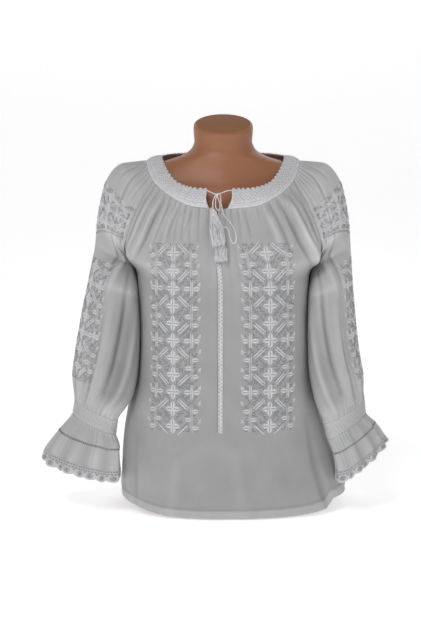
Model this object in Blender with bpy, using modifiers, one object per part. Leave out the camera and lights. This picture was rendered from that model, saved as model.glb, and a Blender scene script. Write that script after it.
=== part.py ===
"""Romanian ie blouse worn on a limbless dress form.

The blouse is a raglan blouse in thin white cotton: a front and a back gathered into a ribbed
neckband, two full sleeves gathered at the neck and again at a smocked wristband, and below each
wrist a flounce of two strips with a scalloped lace edging. The front opens in a short slit under
the neckband, closed by two ties that are knotted in a bow and end in tassels.

Axes: +X and "right" are towards the right as seen from the front, +Y towards the back, +Z up, in
metres. The origin is the centre of the form's flat base. Tables are in millimetres.
"""

import math

import bmesh
import bpy
import numpy as np

MM = 0.001

# ---------------------------------------------------------------- cloth and seams
CLOTH = 1.5 * MM
HEM_CLOTH = 2.4 * MM  # the hem is turned up twice
SEAM_GAP = 0.3 * MM
BAND_GAP = 0.7 * MM  # under the neckband's foot, which is thicker
LAID_GAP = 0.3 * MM  # under a strip that lies on a panel
STRIP = 1.0 * MM  # wall of the trim and of the slit's binding

# ---------------------------------------------------------------- counts
FORM_SIDES = 20
FRONT_HALF_COLUMNS = 18
BACK_HALF_COLUMNS = 14
SLEEVE_ROUND = 30
BAND_COLUMNS = 54
SCALLOPS = 20
SCALLOP_COLUMNS = 3
FLOUNCE_WAVES = 9
TASSEL_STRANDS = 22

# ---------------------------------------------------------------- heights of the relief
BODY_GATHER = 3.0 * MM
SLEEVE_GATHER = 2.6 * MM
WRIST_GATHER = 3.4 * MM
WRIST_RIB = 1.2 * MM
FLOUNCE_GATHER = 4.0 * MM
FLOUNCE_WAVE = 6.0 * MM
HEM_HITCH = 13.0 * MM
# How fast the gathers fade, in rows, and over how many rows they rise from a seam.
BODY_GATHER_FADE = 1.35
SLEEVE_GATHER_FADE = 0.9
WRIST_GATHER_FADE = 0.8
FLOUNCE_GATHER_FADE = 0.6
GATHER_RISE = 0.4
SCALLOP_DEPTH = 5.0 * MM
BAND_CLOTH = 1.8 * MM
BAND_RIDGE = 1.0 * MM
BAND_BULGE = 2.5 * MM
BAND_AXIS_DROP = 120 * MM  # the band's faces turn away from a point this far below its middle

# ---------------------------------------------------------------- places along the rows
RAGLAN_ROWS = (0, 0.35, 0.9, 1.7, 2.6, 3.4, 4)
SLIT_ROW = 2.6  # the slit runs from the neckband down to this row of the front
BINDING_ROW = 2.68
HITCH_ROW = 8.4  # below this row the right hip draws the front's side up behind a sharp fold
HITCH_ACROSS = (0.65, 0.70, 1.0)  # where across the front that lift starts, is full and ends
SEAM_FLAT = 0.05  # the share of a sleeve's half next to its seam over which relief dies away
TRIM_ROWS = (2.69, 8.1)
HEM_ROWS = (9.84, 9.87, 10)
UNDERARM_ROW = 4
WRIST_ROW = 10
WRISTBAND_END = 11
OPENWORK_ROW = 12
LACE_ROW = 13
EDGE_ROW = 14
SLEEVE_ROWS = RAGLAN_ROWS + (5, 6, 7, 8, 9, 9.55, 10, 10.5, 11, 11.5, 12, 12.5, 13)
NECK_SETTLE_ROW = 1.6  # above this row the panels bend to meet the neckband

# ---------------------------------------------------------------- slit
SLIT_TOP_HALF = 7.0 * MM
SLIT_FOOT_HALF = 1.2 * MM
BINDING_WIDTH = 2.7 * MM
TRIM_HALF = 4.2 * MM

CORNER_EASE = 0.4 * MM  # where a raglan seam runs into the neckband
UNDERARM_SPACE = 7.0 * MM  # at the underarm the sleeve and the body lie side by side
STEEPEST_VALLEY = 0.8  # cosine of the sharpest angle that a seam's allowance is worked out for

# ---------------------------------------------------------------- places round the neck
# Degrees from the centre front where the band's two edges stop, at each side of the slit.
BAND_UPPER_ENDS = (8.0, 344.5)
BAND_LOWER_ENDS = (2.4, 349.2)
SLIT_DEGREES = -6.5
RAGLAN_FRONT = 64.0  # where a sleeve meets the front
RAGLAN_BACK = 130.0  # where a sleeve meets the back

# ---------------------------------------------------------------- ties and tassels
TIE_RADIUS = 0.9 * MM
TIE_ROUNDNESS = 2
TIE_STEP = 5.4 * MM
KNOT_CENTRE = (-11.3, -106.5, 560.5)
KNOT_SIZE = (11.0, 5.0, 6.5)
STRAND_RADIUS = 0.6 * MM
STRAND_SIDES = 3
ROOT_SPREAD = 0.8  # the strands' roots fill this share of the head
SKIRT_FLATNESS = 0.62  # the skirt lies flat against the cloth
HEAD_SHAPE = (2.0, 1.5, 2.0)  # the head's widths over its radius
GOLDEN_ANGLE = math.pi * (3 - math.sqrt(5))


def smooth(values, where):
    """A curve through the values at 0, 1, 2 and so on that never swings past its neighbours."""
    where = np.clip(np.asarray(where, float), 0, len(values) - 1)
    rise = np.diff(values)
    before, after = rise[:-1], rise[1:]
    same_way = before * after > 0
    inner = np.where(same_way, 2 * before * after / np.where(same_way, before + after, 1.0), 0.0)
    slope = np.concatenate([rise[:1], inner, rise[-1:]])
    low = np.clip(where.astype(int), 0, len(values) - 2)
    s = where - low
    return (
        values[low] * (1 + 2 * s) * (1 - s) ** 2
        + slope[low] * s * (1 - s) ** 2
        + values[low + 1] * s * s * (3 - 2 * s)
        + slope[low + 1] * s * s * (s - 1)
    )


class Table:
    """Named columns of sizes, read between rows along a smooth curve."""

    def __init__(self, columns, *rows):
        self.columns = columns.split()
        self.values = np.array(rows, float)

    def plain(self, row, column):
        """The column as it is written, at a row number that may fall between two rows."""
        return smooth(self.values[:, self.columns.index(column)], row)

    def at(self, row, column):
        """A column of lengths, in metres."""
        return self.plain(row, column) * MM

    def point(self, row, name, side=1):
        """Three columns name_x, name_y and name_z as points, mirrored in X where side is -1."""
        return np.stack([self.at(row, name + "_" + axis) for axis in "xyz"], -1) * (side, 1, 1)


FORM = Table(
    "height half_width front back lean tilt square",
    (0, 118, 78, 84, 0, 0, 2.3),
    (4, 121, 81, 87, 0, 0, 2.3),
    (50, 130, 88, 93, 0, 0, 2.3),
    (100, 132, 90, 94, 0, 0, 2.3),
    (165, 121, 86, 84, 0, 0, 2.3),
    (235, 112, 88, 74, 0, 0, 2.3),
    (300, 120, 102, 76, 0, 0, 2.3),
    (345, 129, 118, 81, 0, 0, 2.3),
    (385, 133, 123, 86, 0, 0, 2.3),
    (425, 134, 117, 89, 0, 0, 2.3),
    (465, 140, 106, 91, 0, 0, 2.3),
    (505, 160, 97, 91, 0, 0, 2.3),
    (540, 179, 86, 87, 0, 0, 2.2),
    (556, 186, 82, 84, 0, 0, 2.0),
    (568, 189, 76, 80, 0, 0, 1.8),
    (577, 191, 70, 76, 0, 0, 1.6),
    (585, 189, 66, 73, 0, 0, 1.5),
    (593, 182, 63, 70, 0, 0, 1.45),
    (601, 163, 60, 67, 0, 0, 1.45),
    (609.6, 130, 58, 63, 0, 0, 1.5),
    (617.6, 98, 56, 59, 0, 0, 1.7),
    (626, 73, 53, 55, -1, 2, 2.0),
    (638, 56, 50, 51, -2, 6, 2.0),
    (651, 51, 49, 50, -4, 11, 2.0),
    (664, 52, 50, 50, -6, 16, 2.0),
    (673, 52.5, 51.5, 51, -7, 19, 2.0),
    (679, 51.5, 50, 49, -8, 20, 2.0),
    (682, 48, 46.5, 45, -8, 20, 2.0),
)

# Half of the neckband, a row for every 22.5 degrees from the centre front to the centre back.
NECK_STEP = 22.5
NECK = Table(
    "upper_x upper_y upper_z lower_x lower_y lower_z",
    (0, -92, 568, 0, -103, 536),
    (42, -90, 569, 50, -99, 540),
    (78, -74, 578, 94, -80, 559),
    (101, -36, 604, 125, -44, 588),
    (109, -2, 621.5, 135, -3, 614.5),
    (102, 30, 624, 123, 34, 611),
    (79, 52, 627, 94, 62, 608),
    (43, 63, 628, 51, 76, 605),
    (0, 66, 629, 0, 80, 604),
)

# Rows 0 to 4 run down the raglan seam and rows 4 to 10 down the side seam to the hem. A row is
# an arc of the named turn and square (its exponent), and lag is how late it rises to the side.
PANEL_COLUMNS = (
    "centre_x centre_y centre_z side_y side_z left_x right_x turn"
    " left_square right_square left_lag right_lag"
)
FRONT = Table(
    PANEL_COLUMNS,
    (-15, -102, 537, -46, 580, 120, 120, 62, 2.0, 2.0, 1.5, 1.5),
    (-14, -113, 503, -64, 547, 143, 143, 58, 2.0, 2.0, 1.0, 1.0),
    (-12, -122, 468, -69, 508, 160, 160, 60, 2.1, 2.1, 1.0, 1.0),
    (-7.5, -129, 432, -52, 466, 171, 171, 75, 2.3, 2.3, 1.0, 1.0),
    (-5.3, -133, 397, 0, 430, 152, 153, 90, 2.5, 2.5, 1.0, 1.0),
    (-5.3, -134, 355, 0, 385, 149.5, 150, 90, 2.7, 2.7, 1.0, 1.0),
    (-5.3, -133, 300, 0, 328, 148, 150, 90, 2.7, 2.7, 1.0, 1.0),
    (-5.3, -132, 235, 0, 262, 151, 153.5, 90, 2.6, 2.6, 1.0, 1.0),
    (-5.3, -132, 160, 0, 190, 168, 168, 90, 2.5, 2.4, 1.1, 1.1),
    (-5.3, -133, 79, 0, 115, 179, 192, 90, 2.4, 2.2, 1.3, 1.3),
    (-5.3, -135, 2, 0, 43, 183, 220, 90, 2.2, 2.4, 1.4, 1.7),
)
BACK = Table(
    PANEL_COLUMNS,
    (0, 80, 604, 57, 605, 103, 103, 50, 2.0, 2.0, 1.0, 1.0),
    (0, 93, 562, 79, 562, 135, 135, 55, 2.0, 2.0, 1.0, 1.0),
    (0, 102, 514, 80, 513, 159, 159, 60, 2.1, 2.1, 1.0, 1.0),
    (0, 105, 465, 56, 466, 170, 170, 75, 2.3, 2.3, 1.0, 1.0),
    (0, 105, 418, 0, 430, 152, 153, 90, 2.5, 2.5, 1.0, 1.0),
    (0, 103, 368, 0, 385, 149.5, 150, 90, 2.6, 2.6, 1.0, 1.0),
    (0, 101, 310, 0, 328, 148, 150, 90, 2.6, 2.6, 1.0, 1.0),
    (0, 102, 240, 0, 262, 151, 153.5, 90, 2.5, 2.5, 1.0, 1.0),
    (0, 108, 160, 0, 190, 168, 168, 90, 2.5, 2.5, 1.1, 1.1),
    (0, 115, 80, 0, 115, 179, 192, 90, 2.4, 2.4, 1.3, 1.3),
    (0, 121, 5, 0, 43, 183, 220, 90, 2.4, 2.4, 1.6, 1.6),
)

# Each row of a sleeve runs round the front and the back from its outer line to its inner line.
# Rows 0 to 3 end on the raglan seams instead. Row 10 is the wrist, 11 the foot of the wristband,
# 12 the openwork line of the flounce, 13 the top of its lace and 14 the lace's edge.
SLEEVE_COLUMNS = "outer_x outer_y outer_z inner_x inner_y inner_z turn front_reach back_reach"
SHOULDER = (
    (134, -3, 614.5, 0, 0, 0, 38, 1.0, 1.0),
    (177, 0, 611, 0, 0, 0, 66, 1.0, 1.0),
    (206, 1, 581, 0, 0, 0, 82, 1.0, 1.0),
    (219, 1, 530, 0, 0, 0, 118, 1.0, 1.0),
)
SLEEVE_LEFT = Table(
    SLEEVE_COLUMNS,
    *SHOULDER,
    (227, 0, 470, 159, 0, 431, 180, 1.05, 1.05),
    (238, -3, 410, 150, -56, 383, 180, 0.92, 0.92),
    (251, -8, 345, 147.5, -58, 322, 180, 0.78, 0.74),
    (263, -12, 283, 149.5, -62, 262, 180, 0.70, 0.66),
    (269, -17, 235, 157.5, -70, 214, 180, 0.68, 0.62),
    (267, -22, 211, 172, -68, 186, 180, 0.70, 0.62),
    (264, -26, 193, 187, -62, 163, 180, 0.74, 0.68),
    (268, -27, 168, 191, -60, 137, 180, 0.74, 0.68),
    (291, -28, 138, 184, -66, 112, 180, 0.80, 0.74),
    (313, -29, 105, 184, -72, 77, 180, 0.82, 0.74),
    (321, -29, 84, 186, -75, 57, 180, 0.84, 0.74),
)
SLEEVE_RIGHT = Table(
    SLEEVE_COLUMNS,
    *SHOULDER,
    (226, 0, 470, 160, 0, 431, 180, 1.05, 1.05),
    (229.5, -3, 406, 151.5, -56, 383, 180, 0.98, 0.98),
    (234.5, -8, 345, 149.5, -58, 322, 180, 0.92, 0.88),
    (241.5, -12, 285, 151, -66, 264, 180, 0.84, 0.80),
    (249.5, -17, 238, 159, -76, 212, 180, 0.80, 0.74),
    (250.5, -22, 213, 168, -74, 182, 180, 0.78, 0.70),
    (250.5, -26, 194, 179, -68, 158, 180, 0.76, 0.70),
    (253, -27, 169, 186, -66, 130, 180, 0.76, 0.70),
    (269, -30, 150, 195, -74, 106, 180, 0.86, 0.86),
    (284, -33, 128, 202, -82, 77, 180, 0.86, 0.94),
    (291, -34, 117, 204, -86, 56, 180, 0.84, 0.96),
)

# The largest folds: ridges between two places, each an across value from -1 to 1 and a row.
FOLD_COLUMNS = "across_0 row_0 across_1 row_1 half_width height"
FRONT_FOLDS = Table(
    FOLD_COLUMNS,
    (0.84, 0.0, 0.89, 4.1, 0.07, 8),
    (-0.86, 0.0, -0.90, 4.1, 0.07, 6),
    (0.55, 0.0, 0.62, 2.6, 0.05, 3),
    (-0.58, 0.0, -0.66, 2.4, 0.05, 3),
    (0.80, 7.6, 0.80, 10.6, 0.09, 6),
    (-0.78, 7.8, -0.76, 10.6, 0.09, 5),
)
BACK_FOLDS = Table(
    FOLD_COLUMNS,
    (0.50, 3.0, 0.42, 10.6, 0.10, 6),
    (-0.46, 2.6, -0.52, 10.6, 0.10, 6),
    (0.02, 4.5, -0.05, 10.6, 0.11, 5),
    (0.88, 7.2, 0.82, 10.6, 0.08, 6),
    (-0.86, 7.4, -0.84, 10.6, 0.08, 5),
)
SLEEVE_FOLDS = Table(
    FOLD_COLUMNS,
    (-0.62, 4.2, -0.46, 9.6, 0.09, 7),
    (-0.30, 6.0, -0.26, 10.2, 0.07, 4),
    (0.55, 4.2, 0.50, 9.6, 0.09, 7),
    (0.22, 6.4, 0.28, 10.2, 0.07, 4),
)

# Routes of the ties, in millimetres, from the neckband's ends to the knot and on to the tassels.
TIE_LEFT = ((-29.4, -95.1, 567.5), (-23.5, -99.5, 565), (-15.7, -104.4, 561.6))
TIE_RIGHT = ((15.3, -95.7, 566.8), (7.0, -99, 567), (-6.7, -104.8, 561.9))
BOW_LOOP = (
    (-12.4, -107.3, 557.1),
    (-13.8, -110.5, 547.0),
    (-13.2, -112.5, 538.0),
    (-9.6, -113.5, 533.6),
    (-6.4, -112.5, 538.5),
    (-7.0, -110.5, 547.0),
    (-9.6, -107.3, 557.1),
)
END_LEFT = ((-14.7, -107.9, 557.8), (-18.4, -112.5, 548.0), (-18.0, -116.3, 536.7))
END_RIGHT = (
    (-7.3, -107.9, 557.8),
    (-3.4, -112.0, 540.0),
    (1.5, -116.0, 524.4),
    (10.7, -119.5, 514.0),
    (18.6, -123.5, 501.0),
    (21.4, -127.5, 488.0),
    (18.0, -131.0, 478.6),
    (13.4, -131.5, 481.5),
    (9.6, -129.5, 494.0),
    (5.5, -123.5, 505.0),
    (0.0, -122.0, 506.0),
    (-3.8, -122.0, 499.5),
    (-5.0, -124.3, 488.1),
)
# Each tassel: its head's centre, the end of its skirt, the head's radius, and the skirt's radius.
TASSEL_COLUMNS = "head_x head_y head_z end_x end_y end_z head_radius skirt_radius"
TASSELS = Table(
    TASSEL_COLUMNS,
    (-17.4, -118.0, 532.2, -7.0, -138.5, 474.0, 4.6, 8.0),
    (-5.0, -125.8, 483.5, -4.5, -136.0, 449.0, 4.6, 7.6),
)


# ---------------------------------------------------------------- scene helpers
def clear_scene():
    for existing in list(bpy.data.objects):
        bpy.data.objects.remove(existing)


def finish_of(name, colour, roughness):
    """A plain material in one colour."""
    material = bpy.data.materials.new(name)
    material.use_nodes = True
    shader = material.node_tree.nodes["Principled BSDF"]
    shader.inputs["Base Color"].default_value = (*colour, 1.0)
    shader.inputs["Roughness"].default_value = roughness
    shader.inputs["Metallic"].default_value = 0.0
    return material


def add_object(name, data, material, collection):
    obj = bpy.data.objects.new(name, data)
    data.materials.append(material)
    collection.objects.link(obj)
    if isinstance(data, bpy.types.Mesh):
        data.shade_smooth()
    return obj


# ---------------------------------------------------------------- points
def unit(vectors):
    return vectors / np.maximum(np.linalg.norm(vectors, axis=-1, keepdims=True), 1e-12)


def along(line, places):
    """Points of a polyline at shares of its length, from 0 to 1."""
    steps = np.linalg.norm(np.diff(line, axis=0), axis=1)
    length = np.concatenate([[0], np.cumsum(steps)])
    return np.stack([np.interp(places * length[-1], length, line[:, a]) for a in range(3)], -1)


def length_of(line):
    return np.linalg.norm(np.diff(line, axis=0), axis=1).sum()


def neck_points(edge, degrees):
    """Points of an edge of the neckband at degrees round the neck from the centre front."""
    degrees = (np.asarray(degrees, float) + 180) % 360 - 180
    points = NECK.point(np.abs(degrees) / NECK_STEP, edge)
    return points * np.stack([np.sign(degrees), 1 + 0 * degrees, 1 + 0 * degrees], -1)


def neck_way(points):
    """From points on the neckband's foot, the way up the band."""
    degrees = np.degrees(np.arctan2(points[:, 0], -points[:, 1]))
    return neck_points("upper", degrees) - neck_points("lower", degrees)


def bent_to_neck(points, rows, neck):
    """The grid with its first row moved onto the neckband's edge, and less of that further down."""
    share = np.clip(1 - np.asarray(rows) / NECK_SETTLE_ROW, 0, 1) ** 2
    return points + (neck - points[0])[None] * share[:, None, None]


def half_row(table, row, side):
    """Half of a panel's row as a superellipse arc, from its centre line to the seam."""
    sweep = np.linspace(0, 1, 81) * np.radians(table.plain(row, "turn"))
    name = "right" if side > 0 else "left"
    power = 2 / table.plain(row, name + "_square")
    sine = (np.sin(sweep) / np.sin(sweep[-1])) ** power
    fall = (1 - np.cos(sweep) ** power) / (1 - np.cos(sweep[-1]) ** power)
    reach = table.at(row, name + "_x") * side
    rise = fall ** table.plain(row, name + "_lag")
    x = table.at(row, "centre_x") * (1 - sine) + reach * sine
    y = table.at(row, "centre_y") + (table.at(row, "side_y") - table.at(row, "centre_y")) * fall
    z = table.at(row, "centre_z") + (table.at(row, "side_z") - table.at(row, "centre_z")) * rise
    return np.stack([x, y, z], -1)


def front_places(row, length):
    """Shares of half a front row: the slit's edge, the binding's or trim's edge, even steps."""
    slit = SLIT_TOP_HALF + (SLIT_FOOT_HALF - SLIT_TOP_HALF) * min(row / SLIT_ROW, 1)
    edge = slit + BINDING_WIDTH if row < TRIM_ROWS[0] else TRIM_HALF
    rest = np.linspace(edge / length, 1, FRONT_HALF_COLUMNS + 1)
    return np.concatenate([[slit / length], rest])


def back_places(row, length):
    """Shares of half a back row, in even steps on every row and length."""
    return np.linspace(0, 1, BACK_HALF_COLUMNS + 1)


def panel(table, rows, places_of, neck_degrees):
    """A body panel's inside points, and how far across it each point lies, from -1 to 1."""
    points, across = [], []
    for row in rows:
        halves = []
        for side in (-1, 1):
            line = half_row(table, row, side)
            places = places_of(row, length_of(line))
            halves.append((along(line, places), places))
        (left, left_places), (right, right_places) = halves
        shared = 1 if right_places[0] == 0 else 0
        points.append(np.concatenate([left[::-1], right[shared:]]))
        across.append(np.concatenate([-left_places[::-1], right_places[shared:]]))
    points, across = np.array(points), np.array(across)
    start, middle, end = neck_degrees
    neck = neck_points("lower", np.interp(across[0], (-1, 0, 1), (start, middle, end)))
    return bent_to_neck(points, rows, neck), across


def hermite(start, start_way, end, end_way):
    """A cubic curve between two points that leaves and arrives along the given ways."""
    s = np.linspace(0, 1, 81)[:, None]
    return (
        start * (1 + 2 * s) * (1 - s) ** 2
        + start_way * s * (1 - s) ** 2
        + end * s * s * (3 - 2 * s)
        + end_way * s * s * (s - 1)
    )


def sleeve_half(plan, row, side, ahead, panel_table):
    """Half of a sleeve's row, from its outer line round to its seam, as an arc of a named turn."""
    outer = plan.point(row, "outer", side)
    if row < UNDERARM_ROW:
        reach_x = panel_table.at(row, "right_x" if side > 0 else "left_x") * side
        on_body = np.array([reach_x, panel_table.at(row, "side_y"), panel_table.at(row, "side_z")])
        apart = np.clip((row - SLIT_ROW) / (UNDERARM_ROW - SLIT_ROW), 0, 1)
        seam = on_body + (UNDERARM_SPACE * side * apart, 0, 0)
    else:
        seam = plan.point(row, "inner", side)
    turn = np.radians(plan.plain(row, "turn"))
    fullness = plan.plain(row, "front_reach" if ahead < 0 else "back_reach")
    reach = 2 * math.tan(turn / 4) / math.sin(turn / 2) * np.linalg.norm(seam - outer) * fullness
    forward = np.array([0.0, ahead, 0.0])
    inward = unit((seam - outer) * (1, 0, 1))
    arrive = math.cos(turn) * forward + math.sin(turn) * inward
    return hermite(outer, forward * reach, seam, arrive * reach)


def sleeve(plan, side, rows, across):
    """Sleeve points from the front seam (-1) round the outer line (0) to the back seam (1)."""
    front_places, back_places_ = -across[across <= 0], across[across > 0]
    points = np.array(
        [
            np.concatenate(
                [
                    along(sleeve_half(plan, row, side, -1, FRONT), front_places),
                    along(sleeve_half(plan, row, side, 1, BACK), back_places_),
                ]
            )
            for row in rows
        ]
    )
    degrees = side * np.interp(across, (-1, 1), (RAGLAN_FRONT, RAGLAN_BACK))
    return bent_to_neck(points, rows, neck_points("lower", degrees))


def grid_normals(points, closed=False):
    """Unit normals of a grid of points, as its columns and rows turn."""
    if closed:
        padded = np.concatenate([points[:, -1:], points, points[:, :1]], axis=1)
        across = (padded[:, 2:] - padded[:, :-2]) / 2
    else:
        across = np.gradient(points, axis=1)
    return unit(np.cross(across, np.gradient(points, axis=0)))


def way_out(points, centre, closed=False):
    """1 where the grid's own normals point away from the centre, and -1 where they do not."""
    return 1 if ((points - centre) * grid_normals(points, closed)).sum() > 0 else -1


def outward(points, centre, closed=False):
    """Unit normals of a grid of points, on the side away from the centre."""
    return grid_normals(points, closed) * way_out(points, centre, closed)


def folds_at(folds, across, rows):
    """Height of the folds: each falls off to both sides of its line and to both of its ends."""
    height = 0 * across
    for n in range(len(folds.values)):
        start, end = folds.plain(n, "row_0"), folds.plain(n, "row_1")
        share = (rows - start) / (end - start)
        middle = folds.plain(n, "across_0") * (1 - share) + folds.plain(n, "across_1") * share
        side = np.exp(-(((across - middle) / folds.plain(n, "half_width")) ** 2))
        height = height + side * np.sin(math.pi * np.clip(share, 0, 1)) ** 0.7 * folds.at(n, "height")
    return height


def alternate(columns):
    """1 on every second column and 0 on the others."""
    return np.arange(columns) % 2


def lifted(points, centre, height, closed=False):
    return points + outward(points, centre, closed) * height[..., None]


def seam_edge(edge, inside, beyond, centre, wall=CLOTH, ease=0.0):
    """An edge moved into its own piece by half a seam gap.

    Where the next piece meets it in a valley, it moves further, by the wall's thickness times the
    cotangent of half the valley's angle, so that the two walls do not run into each other. ease
    is a further distance, for a corner where three pieces meet.
    """
    mine, other = unit(inside - edge), unit(beyond - edge)
    cosine = np.clip((mine * other).sum(-1), -1, STEEPEST_VALLEY)
    valley = ((mine + other) * (edge - centre)).sum(-1) > 0
    allowance = np.where(valley, wall * np.sqrt((1 + cosine) / (1 - cosine)), 0) + ease
    return edge + mine * (SEAM_GAP / 2 + allowance)[..., None]


# ---------------------------------------------------------------- sheets
def sheet_mesh(name, points, centre, closed=False, joined_from=None, keep=None):
    """An open sheet through a grid of points, with its faces turned away from the centre.

    closed joins the last column to the first. joined_from does so from one row downwards.
    keep says which quads are made, as a function of their row and column.
    """
    rows, columns = points.shape[:2]
    mesh = bmesh.new()
    corners = [[mesh.verts.new(p) for p in row] for row in points]
    if joined_from is not None:
        for row in corners[joined_from:]:
            mesh.verts.remove(row[-1])
            row[-1] = row[0]
    turned = way_out(points, centre, closed) < 0
    for r in range(rows - 1):
        for c in range(columns if closed else columns - 1):
            if keep and not keep(r, c):
                continue
            d = (c + 1) % columns
            quad = (corners[r][c], corners[r][d], corners[r + 1][d], corners[r + 1][c])
            mesh.faces.new(quad[::-1] if turned else quad)
    bmesh.ops.delete(mesh, geom=[v for v in mesh.verts if not v.link_faces], context="VERTS")
    data = bpy.data.meshes.new(name)
    mesh.to_mesh(data)
    mesh.free()
    return data


def thicken(obj, thickness):
    """The sheet's wall, built outwards. thickness is a number, or one for each vertex."""
    wall = obj.modifiers.new("Wall", "SOLIDIFY")
    wall.offset = 1.0
    wall.thickness = float(np.max(thickness))
    if np.ndim(thickness):
        group = obj.vertex_groups.new(name="wall")
        for index, part in enumerate(np.ravel(thickness) / wall.thickness):
            group.add([index], float(part), "REPLACE")
        wall.vertex_group = group.name


def middle_of(points):
    """The middle of each row of a tube."""
    return points.mean(axis=1, keepdims=True)


BODY_AXIS = np.array([0.0, 0.0, 0.35])  # the body panels face away from here


# ---------------------------------------------------------------- form
def build_form(material, collection):
    """Lofted oval sections with a flat base and a flat, tilted neck cap."""
    mesh = bmesh.new()
    turn = np.linspace(0, 2 * math.pi, FORM_SIDES, endpoint=False)
    rings = []
    for row in range(len(FORM.values)):
        power = 2 / FORM.plain(row, "square")
        depth = np.where(np.sin(turn) < 0, FORM.at(row, "front"), FORM.at(row, "back"))
        x = np.sign(np.cos(turn)) * np.abs(np.cos(turn)) ** power * FORM.at(row, "half_width")
        y = np.sign(np.sin(turn)) * np.abs(np.sin(turn)) ** power * depth
        z = FORM.at(row, "height") + y * math.tan(math.radians(FORM.plain(row, "tilt")))
        ring = np.stack([x, y + FORM.at(row, "lean"), z], -1)
        rings.append([mesh.verts.new(p) for p in ring])
    for low, high in zip(rings, rings[1:]):
        for n in range(FORM_SIDES):
            m = (n + 1) % FORM_SIDES
            mesh.faces.new((low[n], low[m], high[m], high[n]))
    mesh.faces.new(rings[0][::-1])
    mesh.faces.new(rings[-1])
    data = bpy.data.meshes.new("form")
    mesh.to_mesh(data)
    mesh.free()
    return add_object("form", data, material, collection)


# ---------------------------------------------------------------- body
def hem_wall(rows, columns):
    """The wall of each point: thicker in the turned-up hem."""
    wall = np.where(np.asarray(rows) >= HEM_ROWS[1], HEM_CLOTH, CLOTH)
    return np.repeat(wall[:, None], columns, axis=1)


def front_grid():
    """The front's inside points, its rows, and which columns border the slit and the trim."""
    rows = RAGLAN_ROWS[:5] + (BINDING_ROW, TRIM_ROWS[0]) + RAGLAN_ROWS[5:]
    rows = rows + (5, 6, 7, TRIM_ROWS[1], 9) + HEM_ROWS
    points, across = panel(FRONT, rows, front_places, (-RAGLAN_FRONT, SLIT_DEGREES, RAGLAN_FRONT))
    columns = points.shape[1]
    middle = np.abs(np.arange(columns) - (columns - 1) / 2) < 3
    low = np.clip((np.array(rows) - HITCH_ROW) / (HEM_ROWS[-1] - HITCH_ROW), 0, 1)[:, None]
    start, top, end = HITCH_ACROSS
    points[..., 2] += HEM_HITCH * low * np.interp(across, (start, top, end), (0, 1, 0))
    return body_folds(points, rows, across, FRONT_FOLDS, ~middle), rows, middle


def back_grid():
    """The back's inside points and its rows."""
    rows = RAGLAN_ROWS + (5, 6, 7, 8, 9) + HEM_ROWS
    points, across = panel(BACK, rows, back_places, (-RAGLAN_BACK, -180.0, RAGLAN_BACK - 360))
    return body_folds(points, rows, across, BACK_FOLDS, across[0] < 2), rows


def body_folds(points, rows, across, folds, gathered):
    """The panel with its gathers, which start under the neckband and fade, and its folds."""
    down = np.array(rows)[:, None]
    start = np.clip(down / RAGLAN_ROWS[1], 0, 1)
    height = BODY_GATHER * start * np.exp(-down / BODY_GATHER_FADE) * alternate(len(gathered)) * gathered
    height = height + folds_at(folds, across, down) * np.clip(down, 0, 1)
    height[:, [0, -1]] = 0
    return lifted(points, BODY_AXIS, height)


def body_edges(points, rows, other, other_rows, sleeves):
    """The panel with its edges drawn in from the sleeves, the other panel and the neckband."""
    cut = points.copy()
    for column, inside, sleeve_points in ((0, 1, sleeves[0]), (-1, -2, sleeves[1])):
        for r, row in enumerate(rows):
            if row <= UNDERARM_ROW:
                near = min(range(len(RAGLAN_ROWS)), key=lambda n: abs(RAGLAN_ROWS[n] - row))
                beyond = points[r, column] + sleeve_points[near]
            else:
                near = min(range(len(other_rows)), key=lambda n: abs(other_rows[n] - row))
                beyond = points[r, column] + other[near, inside] - other[near, column]
            ease = 0.0 if r else CORNER_EASE
            edge = points[r, column]
            cut[r, column] = seam_edge(edge, points[r, inside], beyond, BODY_AXIS, ease=ease)
    cut[0] = seam_edge(cut[0], cut[1], cut[0] + neck_way(cut[0]), BODY_AXIS, BAND_CLOTH + BAND_RIDGE)
    return cut


def build_front(points, rows, middle, cotton, collection):
    slit = np.flatnonzero(middle)[2]
    open_rows = rows.index(SLIT_ROW)

    def keep(row, column):
        return row >= open_rows or column != slit

    data = sheet_mesh("body_front", points, BODY_AXIS, keep=keep)
    thicken(add_object("body_front", data, cotton, collection), hem_wall(rows, points.shape[1]))


def strip_on_front(name, points, keep, trimming, collection):
    """A thin strip laid on the front, made from the front's own points."""
    over = points + outward(points, BODY_AXIS) * (CLOTH + LAID_GAP)
    data = sheet_mesh(name, over, BODY_AXIS, keep=keep)
    thicken(add_object(name, data, trimming, collection), STRIP)


def build_slit_binding(points, rows, middle, trimming, collection):
    """A narrow band down both edges of the slit and across its foot."""
    first = np.flatnonzero(middle)[1]
    foot = rows.index(SLIT_ROW)

    def keep(row, column):
        beside = column in (first, first + 2) and 0 < row < foot
        below = first <= column <= first + 2 and row == foot
        return beside or below

    strip_on_front("slit_binding", points, keep, trimming, collection)


def build_front_trim(points, rows, middle, trimming, collection):
    """The narrow openwork strip down the centre front, from the slit to the belly."""
    first = np.flatnonzero(middle)[1]
    top, foot = rows.index(TRIM_ROWS[0]), rows.index(TRIM_ROWS[1])

    def keep(row, column):
        return top <= row < foot and first <= column <= first + 2

    strip_on_front("front_trim", points, keep, trimming, collection)


def build_back(points, rows, cotton, collection):
    data = sheet_mesh("body_back", points, BODY_AXIS)
    thicken(add_object("body_back", data, cotton, collection), hem_wall(rows, points.shape[1]))


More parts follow.
